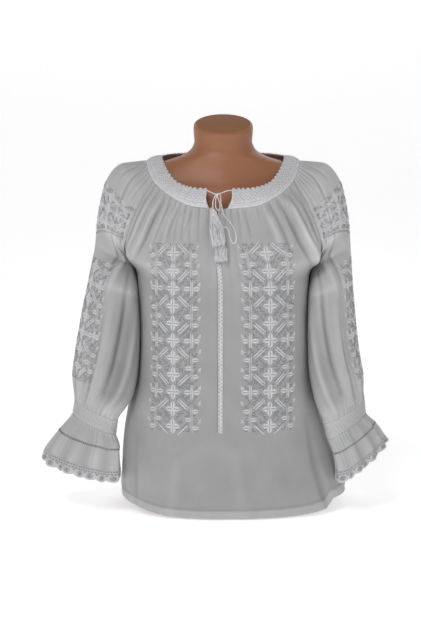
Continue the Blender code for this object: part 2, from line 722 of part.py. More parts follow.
# ---------------------------------------------------------------- sleeves and flounces
def arm_height(rows, across, high):
    """Height of the arm's relief: gathers at the neck and above the wrist, the wristband's ribs,
    and on the flounce gathers that fade and waves that grow. high marks the raised columns."""
    down = np.array(rows, float)[:, None]
    at_neck = np.clip(down / RAGLAN_ROWS[1], 0, 1) * np.exp(-down / SLEEVE_GATHER_FADE)
    to_wrist, past_band = WRIST_ROW - down, down - WRISTBAND_END
    above = np.clip(to_wrist / GATHER_RISE, 0, 1) * np.exp(-to_wrist / WRIST_GATHER_FADE)
    below = np.clip(past_band / GATHER_RISE, 0, 1) * np.exp(-past_band / FLOUNCE_GATHER_FADE)
    gathers = (SLEEVE_GATHER * at_neck + WRIST_GATHER * above + FLOUNCE_GATHER * below) * high
    grown = np.clip((down - WRISTBAND_END) / (EDGE_ROW - WRISTBAND_END), 0, 1)
    waves = FLOUNCE_WAVE * grown * np.cos(math.pi * FLOUNCE_WAVES * across)
    return gathers + waves + folds_at(SLEEVE_FOLDS, across[None] + 0 * down, down)


def arm_grid(plan, side):
    """A whole arm's inside points, from the neckband to the top of the lace."""
    across = np.linspace(-1, 1, SLEEVE_ROUND + 1)
    points = sleeve(plan, side, SLEEVE_ROWS, across)
    height = arm_height(SLEEVE_ROWS, across, alternate(SLEEVE_ROUND + 1))
    above_wrist = np.array(SLEEVE_ROWS) <= WRIST_ROW
    height[above_wrist] *= np.clip((1 - np.abs(across)) / SEAM_FLAT, 0, 1)
    return lifted(points, middle_of(points), height)


def sleeve_ways(points):
    """From the raglan seam into the sleeve, at its front and its back edge on each row."""
    rows = len(RAGLAN_ROWS)
    front = points[:rows, 1] - points[:rows, 0]
    back = points[:rows, -2] - points[:rows, -1]
    return front, back


def arm_slice(points, first, last):
    """Rows of the arm from one piece's top to its foot, with the seams at both drawn in."""
    top, foot = SLEEVE_ROWS.index(first), SLEEVE_ROWS.index(last)
    out = points[top : foot + 1].copy()
    centre = middle_of(points)
    if top:
        out[0] = seam_edge(points[top], points[top + 1], points[top - 1], centre[top])
    else:
        beyond = points[0] + neck_way(points[0])
        out[0] = seam_edge(points[0], points[1], beyond, centre[0], BAND_CLOTH + BAND_RIDGE)
    if foot + 1 < len(SLEEVE_ROWS):
        out[-1] = seam_edge(points[foot], points[foot - 1], points[foot + 1], centre[foot])
    else:
        onward = 2 * points[foot] - points[foot - 1]
        out[-1] = seam_edge(points[foot], points[foot - 1], onward, centre[foot])
    return out


def build_sleeve(name, points, front_way, back_way, cotton, collection):
    """The raglan sleeve, open above the underarm and joined below it."""
    cut = arm_slice(points, 0, WRIST_ROW)
    centre = middle_of(points)
    joined = SLEEVE_ROWS.index(UNDERARM_ROW)
    for column, inside, way in ((0, 1, front_way), (-1, -2, back_way)):
        edge = cut[:joined, column]
        ease = np.where(np.arange(joined) == 0, CORNER_EASE, 0.0)
        cut[:joined, column] = seam_edge(
            edge, cut[:joined, inside], edge + way[:joined], centre[:joined, 0], ease=ease
        )
    data = sheet_mesh(name, cut, middle_of(cut), joined_from=joined)
    thicken(add_object(name, data, cotton, collection), CLOTH)


def build_wristband(name, points, cotton, collection):
    """The smocked band: every second column stands proud."""
    cut = arm_slice(points, WRIST_ROW, WRISTBAND_END)[:, :-1]
    wall = CLOTH + WRIST_RIB * alternate(SLEEVE_ROUND) * np.array([0.5, 1, 0.5])[:, None]
    data = sheet_mesh(name, cut, middle_of(cut), closed=True)
    thicken(add_object(name, data, cotton, collection), wall)


def build_flounce(name, points, first, last, cotton, collection):
    """A strip of the flounce, gathered at its top."""
    cut = arm_slice(points, first, last)[:, :-1]
    data = sheet_mesh(name, cut, middle_of(cut), closed=True)
    thicken(add_object(name, data, cotton, collection), CLOTH)


def build_lace(name, plan, side, arm, lace, collection):
    """The crocheted edging, with a scalloped edge."""
    columns = SCALLOPS * SCALLOP_COLUMNS
    rows = (LACE_ROW, EDGE_ROW)
    across = np.linspace(-1, 1, columns, endpoint=False)
    points = sleeve(plan, side, rows, across)
    points = lifted(points, middle_of(points), arm_height(rows, across, 0), closed=True)
    foot, after = arm[-1, :-1], arm[-1, 1:]
    points[0] = np.stack([foot, (foot + after) / 2], 1).reshape(-1, 3)
    points[0] += unit(points[1] - points[0]) * SEAM_GAP
    valley = np.arange(columns) % SCALLOP_COLUMNS == 0
    points[-1, valley] += unit(points[-2] - points[-1])[valley] * SCALLOP_DEPTH
    data = sheet_mesh(name, points, middle_of(points), closed=True)
    thicken(add_object(name, data, lace, collection), CLOTH)


# ---------------------------------------------------------------- neckband
def build_neckband(crochet, collection):
    """A ribbed band round the neck, open at the slit: ridges run along it and bars across it."""
    down = np.array([0, 0.22, 0.45, 0.66, 0.76, 0.88, 1])[:, None]
    ridge = np.array([0.4, 0.2, 0.5, 0.0, 1.0, 0.0, 0.6])[:, None]
    bars = alternate(BAND_COLUMNS + 1) * np.array([1, 0.2, 1, 0, 0, 0, 0])[:, None]
    round_hole = 1 - np.sqrt(1 - down**2)
    start, end = (
        upper + (lower - upper) * round_hole for upper, lower in zip(BAND_UPPER_ENDS, BAND_LOWER_ENDS)
    )
    degrees = start + (end - start) * np.linspace(0, 1, BAND_COLUMNS + 1)
    upper, lower = neck_points("upper", degrees), neck_points("lower", degrees)
    points = upper + (lower - upper) * down[..., None]
    centre = points.mean(axis=(0, 1)) - (0, 0, BAND_AXIS_DROP)
    points = lifted(points, centre, BAND_BULGE * np.sin(math.pi * down) + 0 * degrees)
    points[-1] += unit(points[-2] - points[-1]) * BAND_GAP
    data = sheet_mesh("neckband", points, centre)
    wall = BAND_CLOTH + BAND_RIDGE * np.maximum(ridge, bars)
    thicken(add_object("neckband", data, crochet, collection), wall)


# ---------------------------------------------------------------- ties and tassels
def curve_through(route, step):
    """Evenly spaced points of a smooth curve through a route in millimetres, in metres."""
    route = np.array(route, float)
    turns = np.linspace(0, len(route) - 1, 20 * len(route))
    fine = np.stack([smooth_swing(route[:, axis], turns) for axis in range(3)], -1) * MM
    count = max(3, int(length_of(fine) / step) + 1)
    return along(fine, np.linspace(0, 1, count))


def smooth_swing(values, where):
    """A Catmull-Rom curve through the values at 0, 1, 2 and so on."""
    padded = np.concatenate([2 * values[:1] - values[1:2], values, 2 * values[-1:] - values[-2:-1]])
    low = np.clip(where.astype(int), 0, len(values) - 2)
    s = where - low
    a, b, c, d = (padded[low + n] for n in range(4))
    return b + 0.5 * s * (c - a + s * (2 * a - 5 * b + 4 * c - d + s * (3 * (b - c) + d - a)))


def build_tie(name, route, cord, collection):
    """A round cord along a route."""
    points = curve_through(route, TIE_STEP)
    data = bpy.data.curves.new(name, "CURVE")
    data.dimensions = "3D"
    data.bevel_depth = TIE_RADIUS
    data.bevel_resolution = TIE_ROUNDNESS
    data.use_fill_caps = True
    spline = data.splines.new("POLY")
    spline.points.add(len(points) - 1)
    spline.points.foreach_set("co", np.column_stack([points, np.ones(len(points))]).ravel())
    add_object(name, data, cord, collection)


def ball(name, centre, size, cord, collection):
    """An oval ball with the given widths, in millimetres."""
    mesh = bmesh.new()
    bmesh.ops.create_uvsphere(mesh, u_segments=12, v_segments=8, radius=0.5 * MM)
    bmesh.ops.scale(mesh, vec=size, verts=mesh.verts)
    bmesh.ops.translate(mesh, vec=np.array(centre) * MM, verts=mesh.verts)
    data = bpy.data.meshes.new(name)
    mesh.to_mesh(data)
    mesh.free()
    return add_object(name, data, cord, collection)


def strand_rings(head, end, head_radius, skirt_radius):
    """Rings of points down each strand: (strand, ring, side, xyz). The strands fan out."""
    axis = unit(end - head)
    wide = unit(np.cross(axis, (0.0, 1.0, 0.0)))
    deep = np.cross(axis, wide)
    number = np.arange(TASSEL_STRANDS)[:, None]
    share = np.array([0.25, 0.6, 1.0, 1.0])[None]
    reach = np.array([0.0, 0.16, 0.55, 1.0])[None]
    spread = np.sqrt((number + 0.5) / TASSEL_STRANDS)
    turn = number * GOLDEN_ANGLE
    root = head_radius * ROOT_SPREAD
    radius = spread * (root + (skirt_radius - root) * share)
    path = (
        head
        + (end - head) * reach[..., None]
        + wide * (radius * np.cos(turn))[..., None]
        + deep * (radius * SKIRT_FLATNESS * np.sin(turn))[..., None]
    )
    corner = np.linspace(0, 2 * math.pi, STRAND_SIDES, endpoint=False)
    ring = np.cos(corner)[:, None] * wide + np.sin(corner)[:, None] * deep
    return path[:, :, None] + ring[None, None] * STRAND_RADIUS


def build_tassel(name, number, cord, collection, cutters):
    """Strands fused at their roots into a round head."""
    head = TASSELS.point(number, "head")
    end = TASSELS.point(number, "end")
    head_radius = float(TASSELS.at(number, "head_radius"))
    rings = strand_rings(head, end, head_radius, TASSELS.at(number, "skirt_radius"))
    mesh = bmesh.new()
    for strand in rings:
        corners = [[mesh.verts.new(p) for p in ring] for ring in strand]
        for low, high in zip(corners, corners[1:]):
            for n in range(STRAND_SIDES):
                m = (n + 1) % STRAND_SIDES
                mesh.faces.new((low[n], high[n], high[m], low[m]))
        mesh.faces.new(corners[0])
        mesh.faces.new(corners[-1][::-1])
    bmesh.ops.recalc_face_normals(mesh, faces=mesh.faces)
    data = bpy.data.meshes.new(name + "_strands")
    mesh.to_mesh(data)
    mesh.free()
    strands = add_object(name + "_strands", data, cord, cutters)
    strands.hide_render = True
    strands.display_type = "WIRE"
    size = np.array(HEAD_SHAPE) * head_radius / MM
    union = ball(name, head / MM, size, cord, collection).modifiers.new("Strands", "BOOLEAN")
    union.operation = "UNION"
    union.object = strands


# ---------------------------------------------------------------- assembly
def main():
    clear_scene()
    collection = bpy.data.collections.new("romanian_ie_blouse")
    cutters = bpy.data.collections.new("cutters")
    bpy.context.scene.collection.children.link(collection)
    bpy.context.scene.collection.children.link(cutters)

    form_plastic = finish_of("form_plastic", (0.31, 0.135, 0.083), 0.5)
    cotton = finish_of("white_cotton_voile", (0.70, 0.70, 0.69), 0.85)
    crochet = finish_of("white_smocked_cotton", (0.78, 0.78, 0.79), 0.85)
    trimming = finish_of("white_trimming", (0.74, 0.74, 0.74), 0.8)
    lace = finish_of("white_crochet_lace", (0.75, 0.75, 0.76), 0.85)
    cord = finish_of("white_cotton_cord", (0.80, 0.80, 0.81), 0.75)

    arms = {-1: arm_grid(SLEEVE_LEFT, -1), 1: arm_grid(SLEEVE_RIGHT, 1)}
    ways = {side: sleeve_ways(points) for side, points in arms.items()}
    front, front_rows, middle = front_grid()
    back, back_rows = back_grid()
    front_ways, back_ways = (ways[-1][0], ways[1][0]), (ways[-1][1], ways[1][1])

    build_form(form_plastic, collection)
    front_cut = body_edges(front, front_rows, back, back_rows, front_ways)
    build_front(front_cut, front_rows, middle, cotton, collection)
    build_slit_binding(front, front_rows, middle, trimming, collection)
    build_front_trim(front, front_rows, middle, trimming, collection)
    back_cut = body_edges(back, back_rows, front, front_rows, back_ways)
    build_back(back_cut, back_rows, cotton, collection)
    build_neckband(crochet, collection)

    for name, side, plan in (("left", -1, SLEEVE_LEFT), ("right", 1, SLEEVE_RIGHT)):
        arm = arms[side]
        edge = 0 if side < 0 else -1
        beside = 1 if side < 0 else -2
        raglan = [front_rows.index(row) for row in RAGLAN_ROWS]
        front_way = (front[:, beside] - front[:, edge])[raglan]
        back_way = (back[:, beside] - back[:, edge])[: len(RAGLAN_ROWS)]
        build_sleeve(f"sleeve_{name}", arm, front_way, back_way, cotton, collection)
        build_wristband(f"wristband_{name}", arm, cotton, collection)
        build_flounce(f"flounce_upper_{name}", arm, WRISTBAND_END, OPENWORK_ROW, cotton, collection)
        build_flounce(f"flounce_lower_{name}", arm, OPENWORK_ROW, LACE_ROW, cotton, collection)
        build_lace(f"lace_{name}", plan, side, arm, lace, collection)

    build_tie("tie_left", TIE_LEFT, cord, collection)
    build_tie("tie_right", TIE_RIGHT, cord, collection)
    build_tie("bow_loop", BOW_LOOP, cord, collection)
    build_tie("tie_end_left", END_LEFT, cord, collection)
    build_tie("tie_end_right", END_RIGHT, cord, collection)
    ball("knot", KNOT_CENTRE, KNOT_SIZE, cord, collection)
    build_tassel("tassel_left", 0, cord, collection, cutters)
    build_tassel("tassel_right", 1, cord, collection, cutters)


main()
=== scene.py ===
"""Looks of a romanian ie blouse worn on a limbless dress form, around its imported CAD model.

The cloth pieces are thin shells on the forms of the CAD solids, worked out from the same tables of
sizes on a finer grid, with gathers, folds, creases and stitched relief. +X and "right" are towards
the right as seen from the front, +Y towards the back and +Z up. Tables are in millimetres.
"""

import math

import bpy
import numpy as np
from bpy.props import FloatProperty, FloatVectorProperty, PointerProperty
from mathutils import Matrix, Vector


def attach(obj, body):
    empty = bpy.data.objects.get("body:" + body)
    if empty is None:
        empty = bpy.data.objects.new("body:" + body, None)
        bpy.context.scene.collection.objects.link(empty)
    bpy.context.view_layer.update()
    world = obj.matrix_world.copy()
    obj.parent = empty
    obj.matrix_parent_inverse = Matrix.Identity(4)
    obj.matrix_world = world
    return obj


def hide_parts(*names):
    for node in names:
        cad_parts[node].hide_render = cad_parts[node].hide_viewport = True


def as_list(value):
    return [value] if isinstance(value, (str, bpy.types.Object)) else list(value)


bl_info = {
    "name": "Romanian Ie Blouse",
    "version": (1, 0, 0),
    "blender": (4, 5, 0),
    "location": "View3D > Sidebar > Ie Blouse",
    "description": "Cloth, stitching, lace, cords and dress form of a romanian ie blouse",
    "category": "Add Mesh",
}

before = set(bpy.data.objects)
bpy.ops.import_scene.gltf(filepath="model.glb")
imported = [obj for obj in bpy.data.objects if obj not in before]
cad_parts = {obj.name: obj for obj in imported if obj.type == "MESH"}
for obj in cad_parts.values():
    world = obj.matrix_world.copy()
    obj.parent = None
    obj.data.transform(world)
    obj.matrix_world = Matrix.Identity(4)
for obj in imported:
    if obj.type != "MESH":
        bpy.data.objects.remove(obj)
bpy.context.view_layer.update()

MM = 0.001
BODY = "root"

# ---- the garment's sizes, as in CAD
RAGLAN_END = 4
SLIT_ROW = 2.6
WRIST_ROW = 10
WRISTBAND_END = 11
OPENWORK_ROW = 12
LACE_ROW = 13
EDGE_ROW = 14
SCALLOPS = 20
FLOUNCE_WAVES = 9
HITCH_ROW = 8.4
HITCH_ACROSS = (0.65, 0.70, 1.0)
HEM_HITCH = 13.0 * MM
NECK_SETTLE_ROW = 1.6
SLIT_TOP_HALF = 7.0 * MM
SLIT_FOOT_HALF = 1.2 * MM
UNDERARM_SPACE = 7.0 * MM
FLOUNCE_WAVE = 6.0 * MM
BAND_UPPER_ENDS = (8.0, 344.5)
BAND_LOWER_ENDS = (2.4, 349.2)
SLIT_DEGREES = -6.5
RAGLAN_FRONT = 64.0
RAGLAN_BACK = 130.0
BODY_AXIS = np.array([0.0, 0.0, 0.35])
ARC_POINTS = 121  # of half a row, before its points are spaced out
HALVINGS = 18


def cubic(start, leaving, end, arriving, s):
    """The cubic from start to end over s from 0 to 1, with its slopes there."""
    near = start * (1 + 2 * s) * (1 - s) ** 2 + leaving * s * (1 - s) ** 2
    return near + end * s * s * (3 - 2 * s) + arriving * s * s * (s - 1)


def smooth(values, where):
    """A curve through the values at 0, 1, 2 and so on that never swings past its neighbours."""
    where = np.clip(np.asarray(where, float), 0, len(values) - 1)
    rise = np.diff(values)
    before, after = rise[:-1], rise[1:]
    same_way = before * after > 0
    inner = np.where(same_way, 2 * before * after / np.where(same_way, before + after, 1.0), 0.0)
    slope = np.concatenate([rise[:1], inner, rise[-1:]])
    low = np.clip(where.astype(int), 0, len(values) - 2)
    s = where - low
    return cubic(values[low], slope[low], values[low + 1], slope[low + 1], s)


class Table:
    """Named columns of sizes, read between rows along a smooth curve."""

    def __init__(self, columns, *rows):
        self.columns = columns.split()
        self.values = np.array(rows, float)

    def plain(self, row, column):
        """A column as it is written."""
        return smooth(self.values[:, self.columns.index(column)], row)

    def at(self, row, column):
        """A column of lengths, in metres."""
        return self.plain(row, column) * MM

    def point(self, row, name, side=1):
        """Three columns as points, mirrored in X where side is -1."""
        return np.stack([self.at(row, name + "_" + axis) for axis in "xyz"], -1) * (side, 1, 1)


FORM = Table(
    "height half_width front back lean tilt square",
    (0, 118, 78, 84, 0, 0, 2.3),
    (4, 121, 81, 87, 0, 0, 2.3),
    (50, 130, 88, 93, 0, 0, 2.3),
    (100, 132, 90, 94, 0, 0, 2.3),
    (165, 121, 86, 84, 0, 0, 2.3),
    (235, 112, 88, 74, 0, 0, 2.3),
    (300, 120, 102, 76, 0, 0, 2.3),
    (345, 129, 118, 81, 0, 0, 2.3),
    (385, 133, 123, 86, 0, 0, 2.3),
    (425, 134, 117, 89, 0, 0, 2.3),
    (465, 140, 106, 91, 0, 0, 2.3),
    (505, 160, 97, 91, 0, 0, 2.3),
    (540, 179, 86, 87, 0, 0, 2.2),
    (556, 186, 82, 84, 0, 0, 2.0),
    (568, 189, 76, 80, 0, 0, 1.8),
    (577, 191, 70, 76, 0, 0, 1.6),
    (585, 189, 66, 73, 0, 0, 1.5),
    (593, 182, 63, 70, 0, 0, 1.45),
    (601, 163, 60, 67, 0, 0, 1.45),
    (609.6, 130, 58, 63, 0, 0, 1.5),
    (617.6, 98, 56, 59, 0, 0, 1.7),
    (626, 73, 53, 55, -1, 2, 2.0),
    (638, 56, 50, 51, -2, 6, 2.0),
    (651, 51, 49, 50, -4, 11, 2.0),
    (664, 52, 50, 50, -6, 16, 2.0),
    (673, 52.5, 51.5, 51, -7, 19, 2.0),
    (679, 51.5, 50, 49, -8, 20, 2.0),
    (682, 48, 46.5, 45, -8, 20, 2.0),
)
NECK_STEP = 22.5
NECK = Table(
    "upper_x upper_y upper_z lower_x lower_y lower_z",
    (0, -92, 568, 0, -103, 536),
    (42, -90, 569, 50, -99, 540),
    (78, -74, 578, 94, -80, 559),
    (101, -36, 604, 125, -44, 588),
    (109, -2, 621.5, 135, -3, 614.5),
    (102, 30, 624, 123, 34, 611),
    (79, 52, 627, 94, 62, 608),
    (43, 63, 628, 51, 76, 605),
    (0, 66, 629, 0, 80, 604),
)
PANEL_COLUMNS = (
    "centre_x centre_y centre_z side_y side_z left_x right_x turn"
    " left_square right_square left_lag right_lag"
)
FRONT = Table(
    PANEL_COLUMNS,
    (-15, -102, 537, -46, 580, 120, 120, 62, 2.0, 2.0, 1.5, 1.5),
    (-14, -113, 503, -64, 547, 143, 143, 58, 2.0, 2.0, 1.0, 1.0),
    (-12, -122, 468, -69, 508, 160, 160, 60, 2.1, 2.1, 1.0, 1.0),
    (-7.5, -129, 432, -52, 466, 171, 171, 75, 2.3, 2.3, 1.0, 1.0),
    (-5.3, -133, 397, 0, 430, 152, 153, 90, 2.5, 2.5, 1.0, 1.0),
    (-5.3, -134, 355, 0, 385, 149.5, 150, 90, 2.7, 2.7, 1.0, 1.0),
    (-5.3, -133, 300, 0, 328, 148, 150, 90, 2.7, 2.7, 1.0, 1.0),
    (-5.3, -132, 235, 0, 262, 151, 153.5, 90, 2.6, 2.6, 1.0, 1.0),
    (-5.3, -132, 160, 0, 190, 168, 168, 90, 2.5, 2.4, 1.1, 1.1),
    (-5.3, -133, 79, 0, 115, 179, 192, 90, 2.4, 2.2, 1.3, 1.3),
    (-5.3, -135, 2, 0, 43, 183, 220, 90, 2.2, 2.4, 1.4, 1.7),
)
BACK = Table(
    PANEL_COLUMNS,
    (0, 80, 604, 57, 605, 103, 103, 50, 2.0, 2.0, 1.0, 1.0),
    (0, 93, 562, 79, 562, 135, 135, 55, 2.0, 2.0, 1.0, 1.0),
    (0, 102, 514, 80, 513, 159, 159, 60, 2.1, 2.1, 1.0, 1.0),
    (0, 105, 465, 56, 466, 170, 170, 75, 2.3, 2.3, 1.0, 1.0),
    (0, 105, 418, 0, 430, 152, 153, 90, 2.5, 2.5, 1.0, 1.0),
    (0, 103, 368, 0, 385, 149.5, 150, 90, 2.6, 2.6, 1.0, 1.0),
    (0, 101, 310, 0, 328, 148, 150, 90, 2.6, 2.6, 1.0, 1.0),
    (0, 102, 240, 0, 262, 151, 153.5, 90, 2.5, 2.5, 1.0, 1.0),
    (0, 108, 160, 0, 190, 168, 168, 90, 2.5, 2.5, 1.1, 1.1),
    (0, 115, 80, 0, 115, 179, 192, 90, 2.4, 2.4, 1.3, 1.3),
    (0, 121, 5, 0, 43, 183, 220, 90, 2.4, 2.4, 1.6, 1.6),
)
SLEEVE_COLUMNS = "outer_x outer_y outer_z inner_x inner_y inner_z turn front_reach back_reach"
SHOULDER = (
    (134, -3, 614.5, 0, 0, 0, 38, 1.0, 1.0),
    (177, 0, 611, 0, 0, 0, 66, 1.0, 1.0),
    (206, 1, 581, 0, 0, 0, 82, 1.0, 1.0),
    (219, 1, 530, 0, 0, 0, 118, 1.0, 1.0),
)
SLEEVE_LEFT = Table(
    SLEEVE_COLUMNS,
    *SHOULDER,
    (227, 0, 470, 159, 0, 431, 180, 1.05, 1.05),
    (238, -3, 410, 150, -56, 383, 180, 0.92, 0.92),
    (251, -8, 345, 147.5, -58, 322, 180, 0.78, 0.74),
    (263, -12, 283, 149.5, -62, 262, 180, 0.70, 0.66),
    (269, -17, 235, 157.5, -70, 214, 180, 0.68, 0.62),
    (267, -22, 211, 172, -68, 186, 180, 0.70, 0.62),
    (264, -26, 193, 187, -62, 163, 180, 0.74, 0.68),
    (268, -27, 168, 191, -60, 137, 180, 0.74, 0.68),
    (291, -28, 138, 184, -66, 112, 180, 0.80, 0.74),
    (313, -29, 105, 184, -72, 77, 180, 0.82, 0.74),
    (321, -29, 84, 186, -75, 57, 180, 0.84, 0.74),
)
SLEEVE_RIGHT = Table(
    SLEEVE_COLUMNS,
    *SHOULDER,
    (226, 0, 470, 160, 0, 431, 180, 1.05, 1.05),
    (229.5, -3, 406, 151.5, -56, 383, 180, 0.98, 0.98),
    (234.5, -8, 345, 149.5, -58, 322, 180, 0.92, 0.88),
    (241.5, -12, 285, 151, -66, 264, 180, 0.84, 0.80),
    (249.5, -17, 238, 159, -76, 212, 180, 0.80, 0.74),
    (250.5, -22, 213, 168, -74, 182, 180, 0.78, 0.70),
    (250.5, -26, 194, 179, -68, 158, 180, 0.76, 0.70),
    (253, -27, 169, 186, -66, 130, 180, 0.76, 0.70),
    (269, -30, 150, 195, -74, 106, 180, 0.86, 0.86),
    (284, -33, 128, 202, -82, 77, 180, 0.86, 0.94),
    (291, -34, 117, 204, -86, 56, 180, 0.84, 0.96),
)
# Folds: where each starts and ends, as place across and row, its half width and its height.
FRONT_FOLDS = (
    (0.84, 0.0, 0.89, 4.1, 0.07, 8),
    (-0.86, 0.0, -0.90, 4.1, 0.07, 6),
    (0.55, 0.0, 0.62, 2.6, 0.05, 3),
    (-0.58, 0.0, -0.66, 2.4, 0.05, 3),
    (0.80, 7.6, 0.80, 10.6, 0.09, 6),
    (-0.78, 7.8, -0.76, 10.6, 0.09, 5),
)
BACK_FOLDS = (
    (0.50, 3.0, 0.42, 10.6, 0.10, 6),
    (-0.46, 2.6, -0.52, 10.6, 0.10, 6),
    (0.02, 4.5, -0.05, 10.6, 0.11, 5),
    (0.88, 7.2, 0.82, 10.6, 0.08, 6),
    (-0.86, 7.4, -0.84, 10.6, 0.08, 5),
)
SLEEVE_FOLDS = (
    (-0.62, 4.2, -0.46, 9.6, 0.09, 7),
    (-0.30, 6.0, -0.26, 10.2, 0.07, 4),
    (0.55, 4.2, 0.50, 9.6, 0.09, 7),
    (0.22, 6.4, 0.28, 10.2, 0.07, 4),
)
TIE_LEFT = ((-29.4, -95.1, 567.5), (-23.5, -99.5, 565), (-15.7, -104.4, 561.6))
TIE_RIGHT = ((15.3, -95.7, 566.8), (7.0, -99, 567), (-6.7, -104.8, 561.9))
BOW_LOOP = (
    (-12.4, -107.3, 557.1),
    (-13.8, -110.5, 547.0),
    (-13.2, -112.5, 538.0),
    (-9.6, -113.5, 533.6),
    (-6.4, -112.5, 538.5),
    (-7.0, -110.5, 547.0),
    (-10.2, -107.6, 556.2),
)
END_LEFT = ((-14.7, -107.9, 557.8), (-18.4, -112.5, 548.0), (-18.0, -116.3, 536.7))
END_RIGHT = (
    (-5.6, -107.9, 556.4),
    (-3.4, -112.0, 540.0),
    (1.5, -116.0, 524.4),
    (10.7, -119.5, 514.0),
    (18.6, -123.5, 501.0),
    (21.4, -127.5, 488.0),
    (18.0, -131.0, 478.6),
    (13.4, -131.5, 481.5),
    (9.6, -129.5, 494.0),
    (5.5, -123.5, 505.0),
    (0.0, -122.0, 506.0),
    (-3.8, -122.0, 499.5),
    (-5.0, -124.3, 488.1),
)
KNOT_CENTRE = (-11.3, -106.5, 560.5)
TASSELS = Table(
    "head_x head_y head_z end_x end_y end_z head_radius skirt_radius",
    (-17.4, -118.0, 532.2, -7.0, -138.5, 474.0, 4.6, 8.0),
    (-5.0, -125.8, 483.5, -4.5, -136.0, 449.0, 4.6, 7.6),
)


# ---- numbers on grids
def unit(vectors):
    """The vectors at a length of 1."""
    return vectors / np.maximum(np.linalg.norm(vectors, axis=-1, keepdims=True), 1e-12)


def stacked(*parts):
    """Arrays brought to one shape and laid side by side, such as x, y and z into points."""
    return np.stack(np.broadcast_arrays(*parts), -1)


def angles_round(count):
    """Even angles once round. The last one stops short of the first."""
    return np.linspace(0, 2 * math.pi, count, endpoint=False)


def noise(x, y, seed):
    """Smooth noise from -1 to 1: seeded random values at whole x and y, blended in between."""
    values = np.random.default_rng(seed).uniform(-1, 1, (64, 64))
    x, y = np.broadcast_arrays(np.asarray(x, float), np.asarray(y, float))
    column, row = np.floor(x).astype(int), np.floor(y).astype(int)
    s, t = x - column, y - row
    s, t = s * s * (3 - 2 * s), t * t * (3 - 2 * t)
    corner = [[values[(row + j) % 64, (column + i) % 64] for i in (0, 1)] for j in (0, 1)]
    top = corner[0][0] * (1 - s) + corner[0][1] * s
    return top * (1 - t) + (corner[1][0] * (1 - s) + corner[1][1] * s) * t


def ramp(values, start, end):
    """0 before the start, 1 past the end, and smooth in between."""
    share = np.clip((values - start) / (end - start), 0, 1)
    return share * share * (3 - 2 * share)


def steps(*stretches):
    """Rows in even steps: each stretch is its first row, its last row and its count of steps."""
    parts = [np.linspace(a, b, n, endpoint=False) for a, b, n in stretches]
    return np.concatenate(parts + [[stretches[-1][1]]])


def lengths_along(lines):
    """How far along each polyline its points lie, for an array of (line, point, xyz)."""
    pieces = np.linalg.norm(np.diff(lines, axis=1), axis=2)
    return np.concatenate([np.zeros((len(lines), 1)), np.cumsum(pieces, axis=1)], axis=1)


def length_along(line):
    """The same for one polyline."""
    return lengths_along(line[None])[0]


def resampled(lines, shares):
    """Points of each polyline at shares of its length: the lines are laid end to end, 2 apart."""
    length = lengths_along(lines)
    offset = 2.0 * np.arange(len(lines))[:, None]
    knots = (length / length[:, -1:] + offset).ravel()
    where = np.broadcast_to(shares, (len(lines), np.shape(shares)[-1])) + offset
    flat = lines.reshape(-1, 3)
    return np.stack([np.interp(where, knots, flat[:, axis]) for axis in range(3)], -1)


def spaced(line, shares):
    """Points of one polyline at shares of its length."""
    return resampled(line[None], shares[None])[0]


def grid_normals(points, closed=False):
    """Unit normals of a grid: the cross product of its steps across and down."""
    if closed:
        padded = np.pad(points, ((0, 0), (1, 1), (0, 0)), mode="wrap")
        across = (padded[:, 2:] - padded[:, :-2]) / 2
    else:
        across = np.gradient(points, axis=1)
    return unit(np.cross(across, np.gradient(points, axis=0)))


def outward(points, centre, closed=False):
    """Unit normals of a grid, on the side away from the centre."""
    normals = grid_normals(points, closed)
    return normals * (1 if ((points - centre) * normals).sum() > 0 else -1)


def middle_of(points):
    """The mean point of each row."""
    return points.mean(axis=1, keepdims=True)


# ---- the garment's surfaces
def neck_points(edge, degrees):
    """Points of an edge of the neckband at degrees round the neck from the centre front."""
    degrees = (np.asarray(degrees, float) + 180) % 360 - 180
    points = NECK.point(np.abs(degrees) / NECK_STEP, edge)
    return points * np.stack([np.sign(degrees), 1 + 0 * degrees, 1 + 0 * degrees], -1)


def bent_to_neck(points, rows, neck):
    """The grid with its first row on the neckband's edge, and less of that shift further down."""
    share = np.clip(1 - rows / NECK_SETTLE_ROW, 0, 1) ** 2
    return points + (neck - points[0])[None] * share[:, None, None]


def half_rows(table, rows, side):
    """Halves of a panel's rows as superellipse arcs, from the centre line to the seam."""
    turn = np.radians(np.minimum(table.plain(rows, "turn"), 90.0))
    sweep = np.linspace(0, 1, ARC_POINTS)[None] * turn[:, None]
    name = "right" if side > 0 else "left"
    power = (2 / table.plain(rows, name + "_square"))[:, None]
    last = sweep[:, -1:]
    sine = (np.sin(sweep) / np.sin(last)) ** power
    fall = (1 - np.cos(sweep) ** power) / (1 - np.cos(last) ** power)

    def at(column):
        return table.at(rows, column)[:, None]

    rise = fall ** table.plain(rows, name + "_lag")[:, None]
    x = at("centre_x") * (1 - sine) + at(name + "_x") * side * sine
    y = at("centre_y") + (at("side_y") - at("centre_y")) * fall
    z = at("centre_z") + (at("side_z") - at("centre_z")) * rise
    return np.stack([x, y, z], -1)


def panel(table, rows, left_places, right_places, neck_degrees):
    """A body panel's points, and how far across it each lies. Places are shares of half a row."""
    left = resampled(half_rows(table, rows, -1), left_places)
    right = resampled(half_rows(table, rows, 1), right_places)
    points = np.concatenate([left[:, ::-1], right], axis=1)
    across = np.concatenate([-left_places[:, ::-1], right_places], axis=1)
    degrees = np.interp(across[0], (-1, 0, 1), neck_degrees)
    return bent_to_neck(points, rows, neck_points("lower", degrees)), across


def seam_of(table, rows, side):
    """A panel's seam line on one side."""
    x = table.at(rows, "right_x" if side > 0 else "left_x") * side
    return np.stack([x, table.at(rows, "side_y"), table.at(rows, "side_z")], -1)


